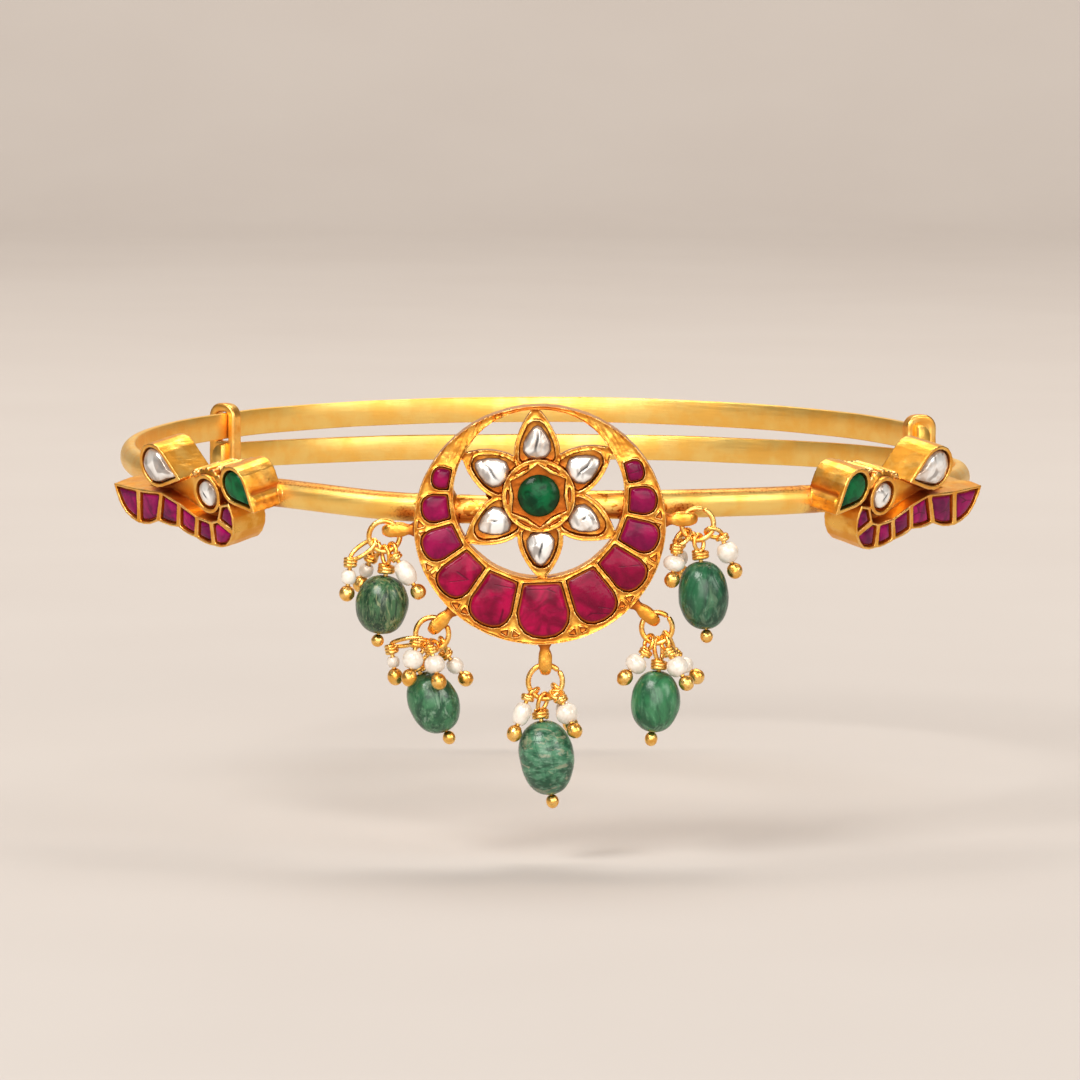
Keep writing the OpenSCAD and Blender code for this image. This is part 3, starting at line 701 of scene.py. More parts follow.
def swept(places, outline, closed=False):
    """Skin through copies of an outline. places holds (point, across, up) frames and
    outline holds (across, up) pairs, or one such list for each place."""
    many = isinstance(outline[0][0], (tuple, list, np.ndarray))
    points, faces = [], []
    for k, (at, across, up) in enumerate(places):
        for a, u in (outline[k] if many else outline):
            points.append(at + across * a + up * u)
    n = len(outline[0]) if many else len(outline)
    rows = len(places)
    for k in range(rows if closed else rows - 1):
        for i in range(n):
            j = (i + 1) % n
            m = (k + 1) % rows
            faces.append((k * n + i, k * n + j, m * n + j, m * n + i))
    if not closed:
        faces.append(tuple(reversed(range(n))))
        faces.append(tuple(range((rows - 1) * n, rows * n)))
    return mesh_of(points, faces)


def circle(radius, sides):
    angles = [2 * pi * k / sides for k in range(sides)]
    return [(radius * cos(a), radius * sin(a)) for a in angles]


def along(path):
    """Frames along a path that turn as little as they can."""
    path = [Vector(p) for p in path]
    frames = []
    side = None
    for k, at in enumerate(path):
        ahead = path[min(k + 1, len(path) - 1)] - path[max(k - 1, 0)]
        ahead.normalize()
        if side is None:
            side = ahead.orthogonal().normalized()
        side = (side - ahead * side.dot(ahead)).normalized()
        frames.append((at, side, ahead.cross(side)))
    return frames


def wire(path, thick, sides=10):
    """A round wire along a path, with its ends rounded off."""
    frames = along(path)
    shares = [0.35, 0.8] + [1.0] * (len(frames) - 4) + [0.8, 0.35]
    return swept(frames, [circle(thick / 2 * s, sides) for s in shares])


def smooth_path(points, steps):
    """A Catmull-Rom curve through points, with steps pieces between each two."""
    p = [np.array(q, float) for q in points]
    p = [2 * p[0] - p[1]] + p + [2 * p[-1] - p[-2]]
    path = []
    for a, b, c, d in zip(p, p[1:], p[2:], p[3:]):
        for k in range(steps):
            t = k / steps
            path.append(0.5 * (2 * b + (c - a) * t + (2 * a - 5 * b + 4 * c - d) * t * t
                               + (3 * b - a - 3 * c + d) * t ** 3))
    path.append(p[-2])
    return path


# Where things sit
crescent_place = (Matrix.Translation((-CRESCENT_LEFT, 0, -CRESCENT_DROP))
                  @ turn("Y", -CRESCENT_ROLL))
flower_place = crescent_place @ Matrix.Translation((0, 0, HOLE_UP))


def bird_place(side):
    mirror = Matrix.Scale(-1 if side == "left" else 1, 4, (1, 0, 0))
    return (mirror @ turn("Z", BIRD_ANGLE)
            @ Matrix.Translation((0, -OUTER_R - BIRD_PROUD, 0)) @ turn("X", BIRD_TILT))


def cos_sin(angle):
    return cos(radians(angle)), sin(radians(angle))


def down(angle):
    """The way that points an angle to the right of straight down."""
    c, s = cos_sin(angle)
    return Vector((s, 0, -c))


def lug_foot(angle):
    """Where a lug leaves the rim of the crescent, in the crescent's own place."""
    foot = down(angle)
    return foot / hypot(foot.x / (CRESCENT_W / 2), foot.z / (CRESCENT_H / 2))


class Drop:
    """Where the pieces of one drop hang, worked out down the chain from its lug."""

    def __init__(self, name):
        (lug, wire_at, swing, ring, neck, bead_swing,
         width, length, self.tilt, self.look) = DROPS[name]
        foot = lug_foot(lug)
        eye = LUG_LEN - LUG_ROOT - LUG_STRAP
        reach = LUG_ROOT + RING_WIRE / 2 + (eye - RING_WIRE) * wire_at
        hook = crescent_place @ (foot + down(lug) * reach)
        hook.y = DROP_Y
        self.ring_r = RING_D / 2 * ring
        self.ring_at = hook + self.ring_r * down(swing)
        self.width = BEAD_W * width
        self.length = BEAD_H * length
        self.bead_at = self.ring_at + down(bead_swing) * (
            self.ring_r + NECK * neck + self.length / 2)

    def in_bead(self, point):
        return self.bead_at + turn("Y", -self.tilt).to_3x3() @ Vector(point)

    def on_loop(self, angle, share):
        """A place on a pin's loop, as a share of its radius out from its middle."""
        reach = self.ring_r + (LOOP_D - PIN_WIRE - RING_WIRE) / 2 - HANG_GAP
        return self.ring_at + down(angle) * (reach + share * LOOP_D / 2)


drops = {name: Drop(name) for name in DROPS}


# Camera, light and floor
def make_camera():
    data = bpy.data.cameras.new("camera")
    data.lens = CAMERA_LENS
    data.sensor_width = SENSOR
    data.clip_start, data.clip_end = 0.05, 20
    camera = bare_object("camera", data)
    aim = turn("Z", CAMERA_LEFT) @ turn("X", 90 - CAMERA_DOWN) @ turn("Z", CAMERA_ROLL)
    camera.matrix_world = Matrix.Translation(Vector(CAMERA_AT) * MM) @ aim
    bpy.context.scene.camera = camera


def soft_light(name, at, wide, high, watts, colour, aim):
    data = bpy.data.lights.new(name, "AREA")
    data.shape = "RECTANGLE"
    data.size, data.size_y = wide, high
    data.energy, data.color = watts, colour
    light = bare_object(name, data)
    light.location = at
    light.rotation_euler = (Vector(aim) - Vector(at)).to_track_quat("-Z", "Y").to_euler()


def make_studio():
    """A pale floor that curves up into a wall, far behind the armlet."""
    f = Finish("studio_paper")
    paper = f.surface(
        f.painted((0.52, 0.48, 0.455), (f.grain(60, 2), (0.56, 0.525, 0.5))), 0.9)
    floor_z = cad_low.z - FLOOR_GAP * MM
    near, deep, bend, tall, wide = -1.4, 1.3, 0.35, 1.6, 2.6
    run = [(near, 0), (0, 0), (deep - bend, 0)]
    run += [(deep - bend + bend * sin(a), bend - bend * cos(a))
            for a in np.linspace(0.1, pi / 2, 14)]
    run += [(deep, tall)]
    points = [(side * wide, y, floor_z + z) for y, z in run for side in (-1, 1)]
    faces = [(2 * k, 2 * k + 1, 2 * k + 3, 2 * k + 2) for k in range(len(run) - 1)]
    mesh = mesh_of(points, faces)
    mesh.materials.append(paper)
    mesh.shade_smooth()
    bare_object("studio_floor", mesh)
    for light in LIGHTS:
        soft_light(*light)
    world = bpy.data.worlds.new("studio")
    world.use_nodes = True
    sky = world.node_tree.nodes["Background"].inputs
    sky["Color"].default_value = (1, 0.92, 0.83, 1)
    sky["Strength"].default_value = 0.22
    bpy.context.scene.world = world
    bpy.context.scene.view_settings.view_transform = "Standard"


make_camera()
make_studio()


# Hoop
def rod_outline(sides=22):
    """The rod is flat inside the hoop and domed outside, with its edges rounded off."""
    inside, half = ARM_D / 2, ROD_H / 2
    outline = [(inside + 0.05, -half + 0.02), (inside + ROD_EDGE * 0.6, -half)]
    for k in range(sides + 1):
        a = pi * k / sides - pi / 2
        outline.append((inside + ROD_EDGE + (ROD_T - ROD_EDGE) * cos(a),
                        half * sin(a)))
    return outline + [(inside + ROD_EDGE * 0.6, half), (inside + 0.05, half - 0.02),
                      (inside, half - 0.12), (inside, 0), (inside, -half + 0.12)]


def eased(x, low, high):
    """0 up to low and 1 from high, with a soft change between them."""
    t = np.clip((x - low) / (high - low), 0, 1)
    return t * t * (3 - 2 * t)


def droop(angle):
    """How far the left rod hangs down at an angle to the left of the crescent."""
    return DROOP * eased(angle, *DROOP_FROM) * (1 - eased(angle, *DROOP_TO))


def make_rod(side, name, collar, steps=420):
    """One rod of the hoop, bent by hand: side 1 starts to the left of the crescent."""
    reach = 360 - collar + degrees((COLLAR_W / 2 + BAR_END) / MEAN_R)
    start = degrees(0.3 / MEAN_R)
    angles = start + (reach - start) * np.arange(steps + 1) / steps
    outline = rod_outline()
    tilt = turn("X", side * ARM_TILT)
    pivot = Vector((0, -MEAN_R, 0))
    places, shapes = [], []
    for k, a in enumerate(angles):
        c, s = cos_sin(a)
        sink = droop(a) if side > 0 else 0
        wave = 0.05 * noise.noise(Vector((a / 14, side * 5.0, 0))) * min(1, max(0, a - 20) / 8)
        lean = 0.03 * noise.noise(Vector((a / 9, side * 5.0, 3.0)))
        out = Vector((-side * s, -c, 0))
        up = UP + out * lean
        at = Vector((0, 0, wave - sink))
        places.append((tilt @ (at - pivot) + pivot, tilt @ out, tilt @ up))
        soften = 1 - 0.12 * (k in (0, steps))
        shapes.append([(MEAN_R + (x - MEAN_R) * soften, z * soften) for x, z in outline])
    mesh = swept(places, shapes)
    angle = np.repeat(angles, len(outline))
    x, z = np.tile(np.array(outline), (steps + 1, 1)).T
    outside = x > ARM_D / 2 + 0.1
    solder = sum(np.exp(-((angle - at) / 1.7) ** 2) for at in SOLDER_AT)
    specks = eased(angle, 12, 20) * (1 - eased(angle, 36, 44)) * eased(z, 0.75, 1.0)
    write_mark(mesh, "hollow", outside * np.maximum(
        0.9 * solder * (1 - eased(z, 0.0, 0.4)), 0.75 * specks))
    piece(name, mesh, rod_gold, "gold", "gold_frame")


make_rod(1, "left_rod", RIGHT_COLLAR)
make_rod(-1, "right_rod", LEFT_COLLAR)


def rounded_box(wide, high, corner, steps):
    """Points round a box that reaches wide and high from its middle, each with its angle."""
    points = []
    for cx, cz, start in ((1, 1, 0), (-1, 1, 90), (-1, -1, 180), (1, -1, 270)):
        for k in range(steps + 1):
            a = radians(start + 90 * k / steps)
            points.append((cx * (wide - corner) + corner * cos(a),
                           cz * (high - corner) + corner * sin(a), a))
    return points


def make_collar(name, side, angle):
    """A strap bent round both bars, its corners rounded, soldered to one of them."""
    c, s = cos_sin(angle)
    half = MEAN_R * (1 - c) * tan(radians(ARM_TILT))
    wide = (ROD_T + SLIDE_GAP + COLLAR_WALL) / 2
    tall = half + ROD_H / 2 + SLIDE_GAP / 2 + COLLAR_WALL / 2
    out, tangent = Vector((s, -c, 0)), Vector((c, s, 0))
    places = [(out * (MEAN_R + x) + UP * z, tangent, out * cos(a) + UP * sin(a))
              for x, z, a in rounded_box(wide, tall, min(wide * 0.9, 0.9), 8)]
    profile = [(x, z) for x, z, _ in rounded_box(COLLAR_W / 2, COLLAR_WALL / 2, 0.28, 4)]
    ring = swept(places, profile, closed=True)
    bar_z = half * side
    overlap = SLIDE_GAP + 0.1
    block = [(out * (MEAN_R + x * (ROD_T / 2 + overlap)) + tangent * t * COLLAR_W * 0.42
              + UP * (bar_z + z * (ROD_H / 2 + overlap)))
             for x, z in ((1, 1), (-1, 1), (-1, -1), (1, -1)) for t in (-1, 1)]
    solder = mesh_of(block, [(0, 2, 4, 6), (7, 5, 3, 1), (0, 1, 3, 2), (2, 3, 5, 4),
                             (4, 5, 7, 6), (6, 7, 1, 0)])
    mesh = skinned(joined([ring, solder]), COLLAR_VOXEL, 4)
    push_out(mesh, 0.03 * cloud(points_of(mesh), 0.9, 2))
    mark_crests(mesh)
    mark_hollows(mesh)
    piece(name, mesh, collar_gold, "gold", "gold_frame")


make_collar("left_collar", -1, -LEFT_COLLAR)
make_collar("right_collar", 1, RIGHT_COLLAR)


# Crescent and birds
def file_marks(local):
    """Depth of the slanting file marks on the two horns of the crescent."""
    x, y, z = local.T
    horn = np.sign(x) * 4
    x, z = np.abs(x), z - HOLE_UP
    round_hole = np.degrees(np.arctan2(x, -z))
    on_horn = np.clip((round_hole - HORN_FROM) / 3, 0, 1)
    on_horn = on_horn * np.clip((HORN_TO - round_hole) / 14, 0, 1)
    on_face = np.clip((-CRESCENT_FACE + 0.35 - y) / 0.2, 0, 1)
    across, ahead = x * 0.89 + z * 0.45, z * 0.89 - x * 0.45
    marks = 0
    for wide, long, seed, share in ((0.2, 1.5, 3, 1), (0.42, 2.4, 5, 0.4)):
        scratches = cloud(np.stack([across / wide, ahead / long, horn], 1), 1, seed)
        marks = marks + share * np.clip(scratches, 0, 0.6)
    return on_horn * on_face * marks / 0.6


def hole_share(x, z):
    """How far out a point of the crescent's plane lies, with 1 on the opening's edge."""
    return np.hypot(x / (HOLE_W / 2), (z - HOLE_UP) / (HOLE_H / 2))


def widen_opening(local):
    """Files the thin top of the ring from inside, and draws the petal's tip up with it."""
    x, _, z = local.T
    up = z - HOLE_UP
    reach = np.maximum(np.hypot(x, up), 1e-6)
    past = reach * (1 - 1 / np.maximum(hole_share(x, z), 1e-6))
    share = np.where(past > 0, np.clip(1 - past / 0.6, 0, 1), np.exp(-(past / 1.3) ** 2))
    push = 0.3 * eased(up / reach, 0.45, 0.95) * share
    x += x / reach * push
    z += up / reach * push


def strap_lug(lug):
    """A soldered root and a strap bent round to it, with a wide, domed and rounded tongue."""
    foot, way = lug_foot(lug), down(lug)
    side = Vector((-way.z, 0, way.x))
    middle = foot + BACK * DROP_Y
    bend, thick = (EYE_H + LUG_STRAP) / 2, LUG_STRAP / 2
    end = LUG_LEN - thick - bend
    run = [(out, 1, 0) for out in np.linspace(-LUG_BITE, end, 12)]
    run += [(end, cos(a), sin(a)) for a in np.linspace(0.2, pi - 0.2, 13)]
    run += [(out, -1, 0) for out in np.linspace(end, -LUG_BITE, 12)]
    places, shapes = [], []
    for out, back, ahead in run:
        normal = BACK * back + way * ahead
        at = out + bend * ahead
        wide = 0.85 + 0.4 * eased(at, 0.5, 1.2) + 0.4 * (1 - eased(at, 0.0, 0.4))
        wide *= sqrt(1 - 0.6 * np.clip((at - LUG_LEN + 0.95) / 0.75, 0, 1) ** 2)
        places.append((middle + way * out + normal * bend, side, normal))
        shapes.append([(wide / 2 * t, thick * (0.3 + 0.95 * sqrt(1 - t * t)))
                       for t in (-1, -0.92, -0.75, -0.5, -0.2, 0.2, 0.5, 0.75, 0.92, 1)]
                      + [(wide * 0.42, -thick), (-wide * 0.42, -thick)])
    strap = swept(places, shapes)
    ends = [(middle + way * out, side, BACK) for out in (-LUG_BITE, LUG_ROOT)]
    root = swept(ends, [(0.36 * x, bend * y) for x, y in ((-1, -1), (1, -1), (1, 1), (-1, 1))])
    return joined([strap, root])


def shaded_lug_roots(local):
    """How far the lugs' roots are darkened, as painted shade where they leave the rim."""
    share = np.zeros(len(local))
    for lug, *_ in DROPS.values():
        foot, way = lug_foot(lug), down(lug)
        x, y, z = (local - (foot.x, 0, foot.z)).T
        out, side = x * way.x + z * way.z, -x * way.z + z * way.x
        near = (out > -0.05) & (np.abs(side) < 0.7) & (y > -CRESCENT_FACE + FACE_DEEP)
        share = np.maximum(share, near * 0.75 * (1 - eased(out, 0.3, 0.9)))
    return share


def lug_cut(lug):
    """A plane that leaves a lug of the CAD off the crescent, just outside its rim."""
    way = down(lug)
    reach = hypot(way.x * CRESCENT_W / 2, way.z * CRESCENT_H / 2) + 0.03
    return crescent_place @ (way * reach), crescent_place.to_3x3() @ way


def lower_left_rod(points, local):
    """Lets the lengths of rod that show beside and inside the crescent hang as the rod does."""
    x, y, z = points.T
    left, _, up = local.T
    reach = np.hypot(x, y)
    on_rod = (reach < OUTER_R + 0.1) & (reach > ARM_D / 2 - 0.15) & (
        np.abs(z) < ROD_H / 2 + 0.16)
    inside = np.clip((1 - hole_share(left, up)) / 0.04, 0, 1)
    outside = (left < 0) & (np.hypot(left / (CRESCENT_W / 2), up / (CRESCENT_H / 2)) > 0.96)
    angle = np.degrees(np.arcsin(np.clip(-x / MEAN_R, -1, 1)))
    z -= droop(angle) * np.where(on_rod, np.maximum(inside, outside), 0)


def make_crescent():
    mesh = cad_form("gold_frame", [
        ((-CRESCENT_LEFT - CRESCENT_W / 2 - 0.15, 0, 0), (-1, 0, 0)),
        ((-CRESCENT_LEFT + CRESCENT_W / 2 + 0.15, 0, 0), (1, 0, 0)),
        ((0, 0, 0), (0, 1, 0)),
        *(lug_cut(lug) for lug, *_ in DROPS.values() if abs(lug) < 90),
    ])
    lugs = joined([strap_lug(lug) for lug, *_ in DROPS.values()])
    lugs.transform(crescent_place)
    mesh = skinned(joined([mesh, lugs]), CRESCENT_VOXEL, 3)
    points = points_of(mesh)
    back = crescent_place.inverted()
    lower_left_rod(points, transformed(points, back))
    local = transformed(points, back)
    widen_opening(local)
    set_points(mesh, transformed(local, crescent_place))
    near_face = local[:, 1] < -CRESCENT_FACE + FACE_DEEP
    for lips in ((14, 0.12, 0.025, 3), (5, 0.07, 0.012, 5)):
        raise_lips(mesh, near_face & (normals_of(mesh)[:, 1] < FACE_NORMAL), *lips)
    points = points_of(mesh)
    push_out(mesh, 0.035 * cloud(points, 1.1, 1) + 0.024 * cloud(points, 0.33, 4)
             - 0.07 * file_marks(local))
    mark_crests(mesh)
    mesh = thinned(mesh, CRESCENT_MOST)
    local = transformed(points_of(mesh), back)
    x, y, z = local.T
    # Painted shade: the star's well and the lugs' roots are darkened; the file marks are
    # darkened as dark scratches.
    well = (np.hypot(x, z - HOLE_UP) < STAR_REACH) & (
        np.abs(y + CRESCENT_FACE + BOSS_PROUD - 1.3) < 0.9)
    dark = np.maximum(well * 0.85, np.clip(file_marks(local) - 0.35, 0, 0.5))
    mark_hollows(mesh, np.maximum(dark, shaded_lug_roots(local)))
    piece("crescent_and_flower", mesh, setting_gold, "gold", "gold_frame")


make_crescent()


def on_neck(local, rise):
    """1 on the upper walls of a bird's neck, behind its face."""
    x, y, z = local.T
    within = eased(x, -5.2, -4.4) * (1 - eased(x, 1.0, 1.8))
    return within * eased(y, 0.3, 0.6) * eased(z, 0.3, 0.9) * np.clip(rise * 1.5, 0, 1)


def reeds(local, high=0.22, apart=0.7):
    """Height of the ridges that run back along the neck."""
    x, y, _ = local.T
    return high * (np.abs(np.sin(np.pi * (x + 0.15 * y) / apart)) - 0.5)


def lengthen(local):
    """Draws the right bird's tail out a little, as it is longer than the left bird's."""
    x, y, _ = local.T
    x += 0.1 * np.clip(x - 4, 0, None) * (1 - eased(y, 1.3, 2.1))


def beak_fold(local, facing_left):
    """Height of the fold that runs along the beak side of a bird, with a crease over it."""
    x, y, z = local.T
    fold = 0.12 * np.exp(-((z + 0.4) / 0.36) ** 2) - 0.08 * np.exp(-((z - 0.25) / 0.3) ** 2)
    return fold * eased(facing_left, 0.1, 0.9) * eased(-x, 6.4, 7.0) * eased(y, 0.25, 0.6)


def solder_share(local):
    """Where solder ran when the rod was joined to the beak side of a bird."""
    x, y, _ = local.T
    return 0.6 * np.exp(-((x + BEAK_SIDE) / 0.8) ** 2) * (y > 1.4)


def seen_from(place, mesh):
    """The points and the normals of a mesh, in a place's own directions."""
    return (transformed(points_of(mesh), place.inverted()),
            transformed(normals_of(mesh), place.to_3x3().inverted().to_4x4()))


def make_bird(side):
    place = bird_place(side)
    planes = []
    for x, way in ((BIRD_BACK, -1), (BIRD_FRONT, 1)):
        out = (place.to_3x3() @ Vector((way, 0, 0))).normalized()
        planes.append((place @ Vector((x, 0, 0)), out))
    planes.append(((0, 0, 0), (0, 1, 0)))
    mesh = skinned(cad_form("gold_frame", planes), BIRD_VOXEL, 3)
    local, facing = seen_from(place, mesh)
    raise_lips(mesh, (local[:, 1] < FACE_DEEP) & (facing[:, 1] < FACE_NORMAL), deep=0.08)
    points, (_, facing) = points_of(mesh), seen_from(place, mesh)
    push = 0.045 * cloud(points, 1.4, 6) + 0.006 * cloud(points, 0.45, 8)
    left = spread(mesh, -facing[:, 0], 12)[:, 0]
    push += on_neck(local, facing[:, 2]) * (NECK_RAISED + reeds(local)) + beak_fold(local, left)
    push_out(mesh, push)
    mark_crests(mesh)
    mesh = thinned(mesh, BIRD_MOST)
    local, facing = seen_from(place, mesh)
    solder = solder_share(local) * np.clip(0.5 + 1.5 * cloud(points_of(mesh), 0.5, 12), 0, 1)
    # Painted shade in the valleys between the neck's ridges and in the beak's crease; solder
    # tints the join to the rod.
    ridged = on_neck(local, facing[:, 2]) * reeds(local)
    creases = np.clip(-(ridged + beak_fold(local, -facing[:, 0])) / 0.07, 0, 0.8)
    mark_hollows(mesh, np.maximum(solder, creases))
    if side == "right":
        lengthen(local)
        set_points(mesh, transformed(local, place))
    piece(side + "_bird_setting", mesh, box_gold, "gold", "gold_frame")


for side in ("left", "right"):
    make_bird(side)


# Stones
chance = np.random.default_rng(STONE_SEED)


def edge_share(across, up, bins=48):
    """How far out each point lies, with 0 in the middle and 1 on the outline, and where it
    is from the middle."""
    middle = np.array([(across.max() + across.min()) / 2, (up.max() + up.min()) / 2])
    x, z = across - middle[0], up - middle[1]
    reach = np.hypot(x, z)
    angle = np.arctan2(z, x)
    at = (angle + np.pi) / (2 * np.pi) * bins
    most = np.zeros(bins)
    np.maximum.at(most, at.astype(int) % bins, reach)
    at = at - 0.5
    low = np.floor(at).astype(int)
    share = at - low
    limit = most[low % bins] * (1 - share) + most[(low + 1) % bins] * share
    return reach / np.maximum(limit, 1e-6), x, z


def teardrop(petal):
    """A shaper that draws a petal's stone out to a blunt point towards the petal's tip."""
    c, s = cos_sin(petal)
    longer, wider = chance.uniform(1.15, 1.24), chance.uniform(0.92, 1.0)
    skew = chance.uniform(-0.1, 0.1)

    def shape(local):
        x, _, z = local.T
        out, side = x * c + z * s, -x * s + z * c
        low, length = out.min(), np.ptp(out)
        share = (out - low) / length
        side = side * wider * (1 + 0.16 * (1 - share) ** 3 - 0.24 * share ** 2.6)
        side += skew * share ** 2 * length
        out = low - 0.22 + share * length * longer
        x[:], z[:] = out * c - side * s, out * s + side * c

    return shape


def cut_stone(form, place, voxel, rounds, shrink, dome, facets, slope, crease=None,
              shape=None, sunk=0.0):
    """A stone made from its CAD form: shrunk and sunk in its setting, domed, and cut with
    flat facets. crease is (angle, length, depth) of a dark fold across it."""
    mesh = skinned(form, voxel, rounds)
    push_out(mesh, -shrink)
    local = transformed(points_of(mesh), place.inverted())
    if shape:
        shape(local)
    edge, x, z = edge_share(local[:, 0], local[:, 2])
    depth = local[:, 1]
    face = np.clip(1 - (depth - depth.min()) / 0.35, 0, 1)
    depth += face * (sunk - dome * np.clip(1 - edge ** 2, 0, 1))
    size = max(np.ptp(x), np.ptp(z)) / 2
    top = depth.min()
    for _ in range(facets):
        a = chance.uniform(0, 2 * pi)
        tip = chance.uniform(0.2, 0.75) * size
        plane = top + slope * (x * cos(a) + z * sin(a) - tip)
        depth[:] = np.where(face > 0, np.maximum(depth, plane), depth)
    fold = np.zeros(len(local))
    if crease:
        angle, length, deep = crease
        c, s = cos_sin(angle)
        run = x * c + z * s
        off = -x * s + z * c + 0.12 * np.sin(run * 2.6)
        fold = np.exp(-(off / 0.09) ** 2) * np.clip(1.3 - np.abs(run) / (length / 2), 0, 1)
        fold = np.clip(fold * face * 1.2, 0, 1)
        depth += fold * deep
    set_points(mesh, transformed(local, place))
    write_mark(mesh, "edge", np.clip((edge - 0.82) / 0.18, 0, 1) ** 1.3 * face + (1 - face))
    write_mark(mesh, "rim", np.clip((edge - 0.55) / 0.35, 0, 1) * np.clip(
        0.65 + 1.3 * cloud(local, 1.1, 31), 0, 1))
    write_mark(mesh, "crease", fold)
    write_mark(mesh, "tone", np.full(len(local), chance.uniform(0, 1)))
    return mesh


def set_stone(node, place, finish, slot, *cut, name=None):
    piece(name or node + "_stone", cut_stone(cad_form(node), place, *cut), finish, slot, node)


# How each stone is cut: voxel, rounds, shrink, dome, facets, slope
RUBY_CUT = (0.08, 28, 0.0, 0.2, 2, 0.13)
BOTTOM_RUBY_CUT = (0.08, 28, 0.0, 0.2, 3, 0.1)
BIRD_RUBY_CUT = (0.06, 18, 0.02, 0.14, 1, 0.2)
PETAL_CUT = (0.07, 3, 0.03, 0.3, 4, 0.3)
WING_CUT = (0.07, 2, 0.02, 0.5, 12, 0.45)
BODY_CUT = (0.07, 2, 0.16, 0.5, 12, 0.45)
CABOCHON_CUT = (0.08, 2, 0.0, 0.1, 0, 0)
EMERALD_CUT = (0.08, 8, 0.05, 0.12, 1, 0.12)
BODY_CREASE = (70, 0.9, 0.1)
CREASES = [(52, 1.8, 0.12), (90, 1.7, 0.14), (135, 1.7, 0.1), (15, 0.5, 0.08), (88, 1.5, 0.12),
           (60, 0.5, 0.07)]

for side in ("left", "right"):
    for row in range(1, 6):
        set_stone(f"ruby_{side}_{row}", crescent_place, ruby_side if row < 4 else ruby_bright,
                  "ruby", *RUBY_CUT)
set_stone("ruby_bottom", crescent_place, ruby_bright, "ruby", *BOTTOM_RUBY_CUT)
for k, (petal, crease) in enumerate(zip(PETALS, CREASES)):
    set_stone(f"petal_polki_{k + 1}", flower_place, polki, "polki", *PETAL_CUT, crease,
              teardrop(petal))
set_stone("flower_emerald", flower_place, cabochon_green, "emerald", *CABOCHON_CUT,
          name="flower_cabochon")
for side in ("left", "right"):
    place = bird_place(side)
    shape = lengthen if side == "right" else None
    bird = side + "_bird_"
    set_stone(bird + "emerald", place, flat_green, "emerald", *EMERALD_CUT, None, shape)
    set_stone(bird + "wing_polki", place, polki, "polki", *WING_CUT, None, shape)
    set_stone(bird + "body_polki", place, polki, "polki", *BODY_CUT, BODY_CREASE, shape)
    stones = [cut_stone(form, place, *BIRD_RUBY_CUT, None, shape, chance.uniform(0.05, 0.17))
              for form in solids(cad_form(bird + "rubies"))]
    piece(bird + "rubies_stones", thinned(joined(stones), RUBIES_MOST), bird_ruby, "ruby",
          bird + "rubies")


# Drops
def turned_bead(width, length, bore, uneven, seed, sides=56, rows=30):
    """A drilled bead round the Z axis: an oval, fuller than an ellipse, and uneven."""
    end = asin(min(bore / width * 1.5, 0.9))
    inside = length / 2 * cos(end)
    run = [(bore / 2, -inside * 0.6), (bore / 2, -inside * 0.94)]
    for k in range(rows + 1):
        t = -pi / 2 + end + (pi - 2 * end) * k / rows
        run.append((max(width / 2 * cos(t) ** 0.85, bore / 2 + 0.04),
                    length / 2 * sin(t)))
    run += [(bore / 2, inside * 0.94), (bore / 2, inside * 0.6)]
    places = [(Vector((0, 0, 0)), Vector((x, y, 0)), UP) for x, y in circle(1, sides)]
    mesh = swept(places, run, closed=True)
    points = points_of(mesh)
    push = uneven * (cloud(points, width * 0.6, seed)
                     + 0.4 * cloud(points, width * 0.22, seed + 9))
    reach = np.hypot(points[:, 0], points[:, 1]) / (width / 2)
    push_out(mesh, push * np.clip(reach, 0, 1))
    return mesh


def aimed(mesh, at, way):
    """Moves a mesh so that its Z axis points along way from at."""
    mesh.transform(Matrix.Translation(at) @ way.to_track_quat("Z", "Y").to_matrix().to_4x4())
    return mesh


def end_ball(size, seed, flats=9):
    """A melted ball on the end of a pin, a little long and with flats."""
    form = bmesh.new()
    bmesh.ops.create_icosphere(form, subdivisions=4, radius=size / 2)
    mesh = bpy.data.meshes.new("ball")
    form.to_mesh(mesh)
    form.free()
    rng = np.random.default_rng(seed)
    points = points_of(mesh)
    for _ in range(flats):
        flat = rng.normal(size=3)
        flat /= np.linalg.norm(flat)
        over = points @ flat - size / 2 * rng.uniform(0.9, 0.96)
        points -= np.outer(np.clip(over, 0, None) * 0.8, flat)
    points[:, 2] *= rng.uniform(1.0, 1.16)
    set_points(mesh, points)
    return mesh


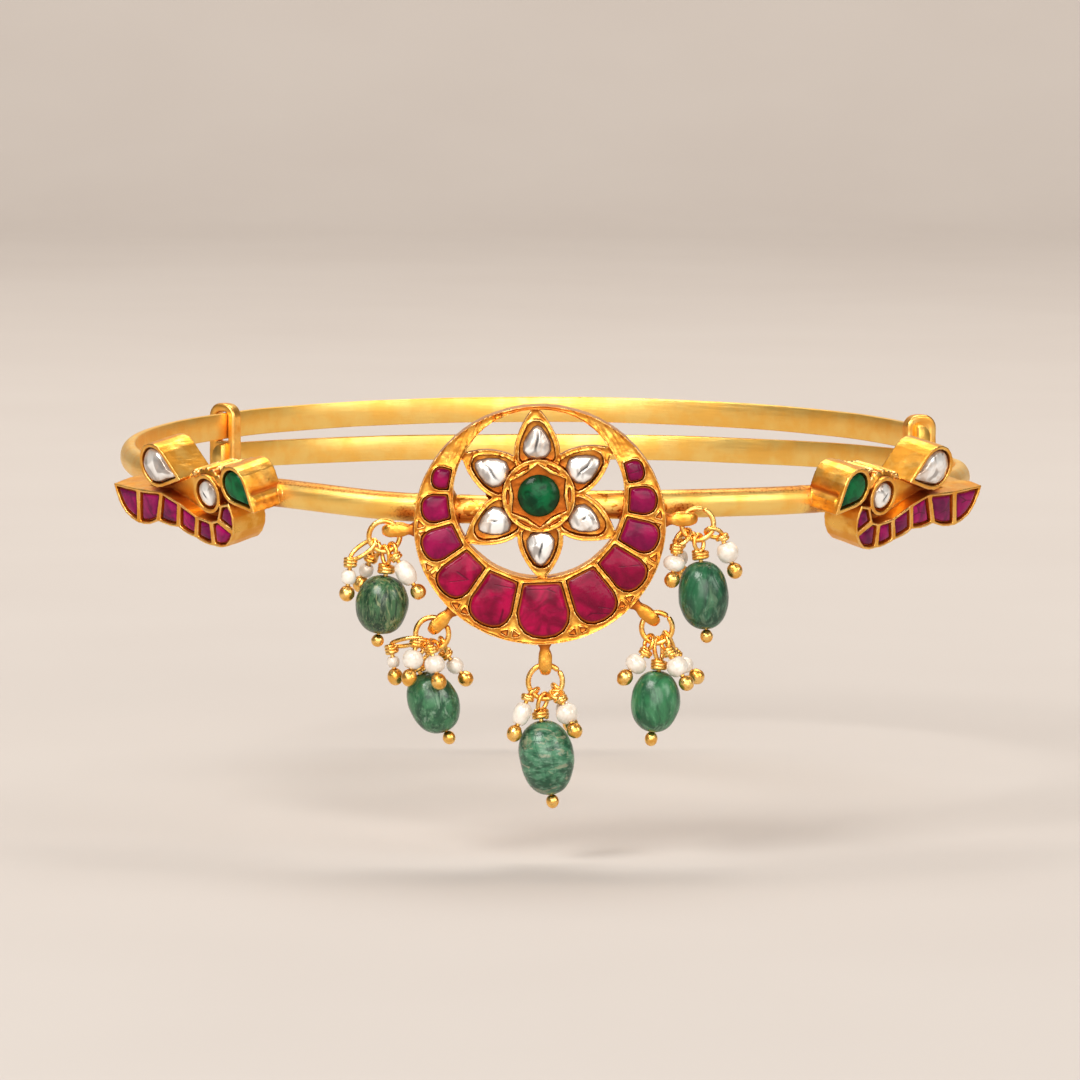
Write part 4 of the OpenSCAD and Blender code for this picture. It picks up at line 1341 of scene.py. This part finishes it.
def head_pin(drop, loop_angle, ball, foot, top, coil_wide, seed):
    """A pin from its ball up through its bead, round the jump ring in a long loop, and
    wrapped down to the bead."""
    rise = (top - foot).normalized()
    hook = drop.on_loop(loop_angle, -1)
    rng = np.random.default_rng(seed)
    turns = min(max(((top - hook).length - LOOP_D * 1.2) / PIN_WIRE, 1.7), 2.6)
    neck = top + rise * PIN_WIRE * turns
    middle, half = (hook + neck) / 2, (neck - hook).length / 2
    low = (neck - hook).normalized()
    twist = Matrix.Rotation(radians(rng.uniform(25, 50) * rng.choice((-1, 1))), 3, low)
    back = twist @ (BACK - low * BACK.dot(low)).normalized()
    start = 0.25
    loop = [middle + low * half * cos(a) + back * LOOP_D * 0.5 * sin(a)
            for a in np.linspace(start, 2 * pi - start, 17)]
    path = smooth_path([foot, foot.lerp(top, 0.5), top, neck, *loop], 4)
    shaft = wire(path, PIN_WIRE * 1.2, 10)
    side = rise.orthogonal().normalized()
    other = rise.cross(side)
    steps = int(turns * COIL_SIDES)
    spin = rng.uniform(0, 2 * pi)
    coil = []
    for k in range(steps + 1):
        a = 2 * pi * k / COIL_SIDES + spin
        radius = PIN_WIRE * (coil_wide - 0.35 * max(0, 1 - k / 4)
                             - 0.35 * max(0, 1 - (steps - k) / 4))
        coil.append(top + rise * PIN_WIRE * (0.5 + (turns - 0.5) * k / steps)
                    + side * radius * cos(a) + other * radius * sin(a))
    head = aimed(end_ball(ball, seed), foot, rise)
    return [shaft, wire(coil, PIN_WIRE * 1.2, 9), head]


def jump_ring(drop, seed, steps=96):
    """A ring of round wire whose cut ends lie side by side."""
    start = radians(np.random.default_rng(seed).uniform(15, 60))
    apart = 0.1 if seed % 2 else -0.1
    path = []
    for share in np.arange(steps + 1) / steps:
        a = start + 2 * pi * share
        path.append(drop.ring_at + Vector((
            drop.ring_r * sin(a), apart * (2 * share - 1), drop.ring_r * cos(a))))
    return wire(path, RING_WIRE * 1.1, 14)


# row counts the pearls of all the drops
row = 0
for number, (name, drop) in enumerate(drops.items()):
    piece(f"{name}_ring", jump_ring(drop, RING_SEED + number), wire_gold, "gold_wire",
          f"{name}_jump_ring")
    axis = (turn("Y", -drop.tilt) @ UP).normalized()
    bead = turned_bead(drop.width, drop.length, PIN_WIRE + 3 * HANG_GAP, 0.11,
                       BEAD_SEED + number)
    piece(f"{name}_green_bead", aimed(bead, drop.bead_at, axis), BEAD_LOOKS[drop.look],
          "green_bead", f"{name}_bead")
    half = drop.length / 2
    foot = drop.in_bead((0, 0, -half - BEAD_BALL / 2 - BALL_GAP))
    top = drop.in_bead((0, 0, half + BALL_GAP))
    pin = head_pin(drop, 0, BEAD_BALL, foot, top, 1.75, PIN_SEED + number)
    piece(f"{name}_bead_head_pin", joined(pin), wire_gold, "gold_wire", f"{name}_bead_pin")
    pearls, pins = [], []
    for place, lean, wide, long, loop in PEARLS[name]:
        width, length = PEARL_D * wide, PEARL_D * long
        reach = drop.width / 2 + width / 2
        at = drop.in_bead((place[0] * reach, place[1] * reach, place[2] * (half + width / 2)))
        way = Vector((*lean, -1)).normalized()
        ball = turned_bead(width, length, PIN_WIRE + 2 * HANG_GAP, 0.045,
                           PEARL_SEED + row, 36, 20)
        pearls.append(aimed(ball, at, -way))
        foot = at + way * (length / 2 + PEARL_BALL / 2 + BALL_GAP)
        top = at - way * (length / 2 + BALL_GAP)
        pins += head_pin(drop, loop, PEARL_BALL, foot, top, 1.3, PEARL_PIN_SEED + row)
        row += 1
    piece(f"{name}_seed_pearls", joined(pearls), pearl, "pearl", f"{name}_pearls")
    piece(f"{name}_pearl_head_pins", joined(pins), wire_gold, "gold_wire", f"{name}_pearl_pins")
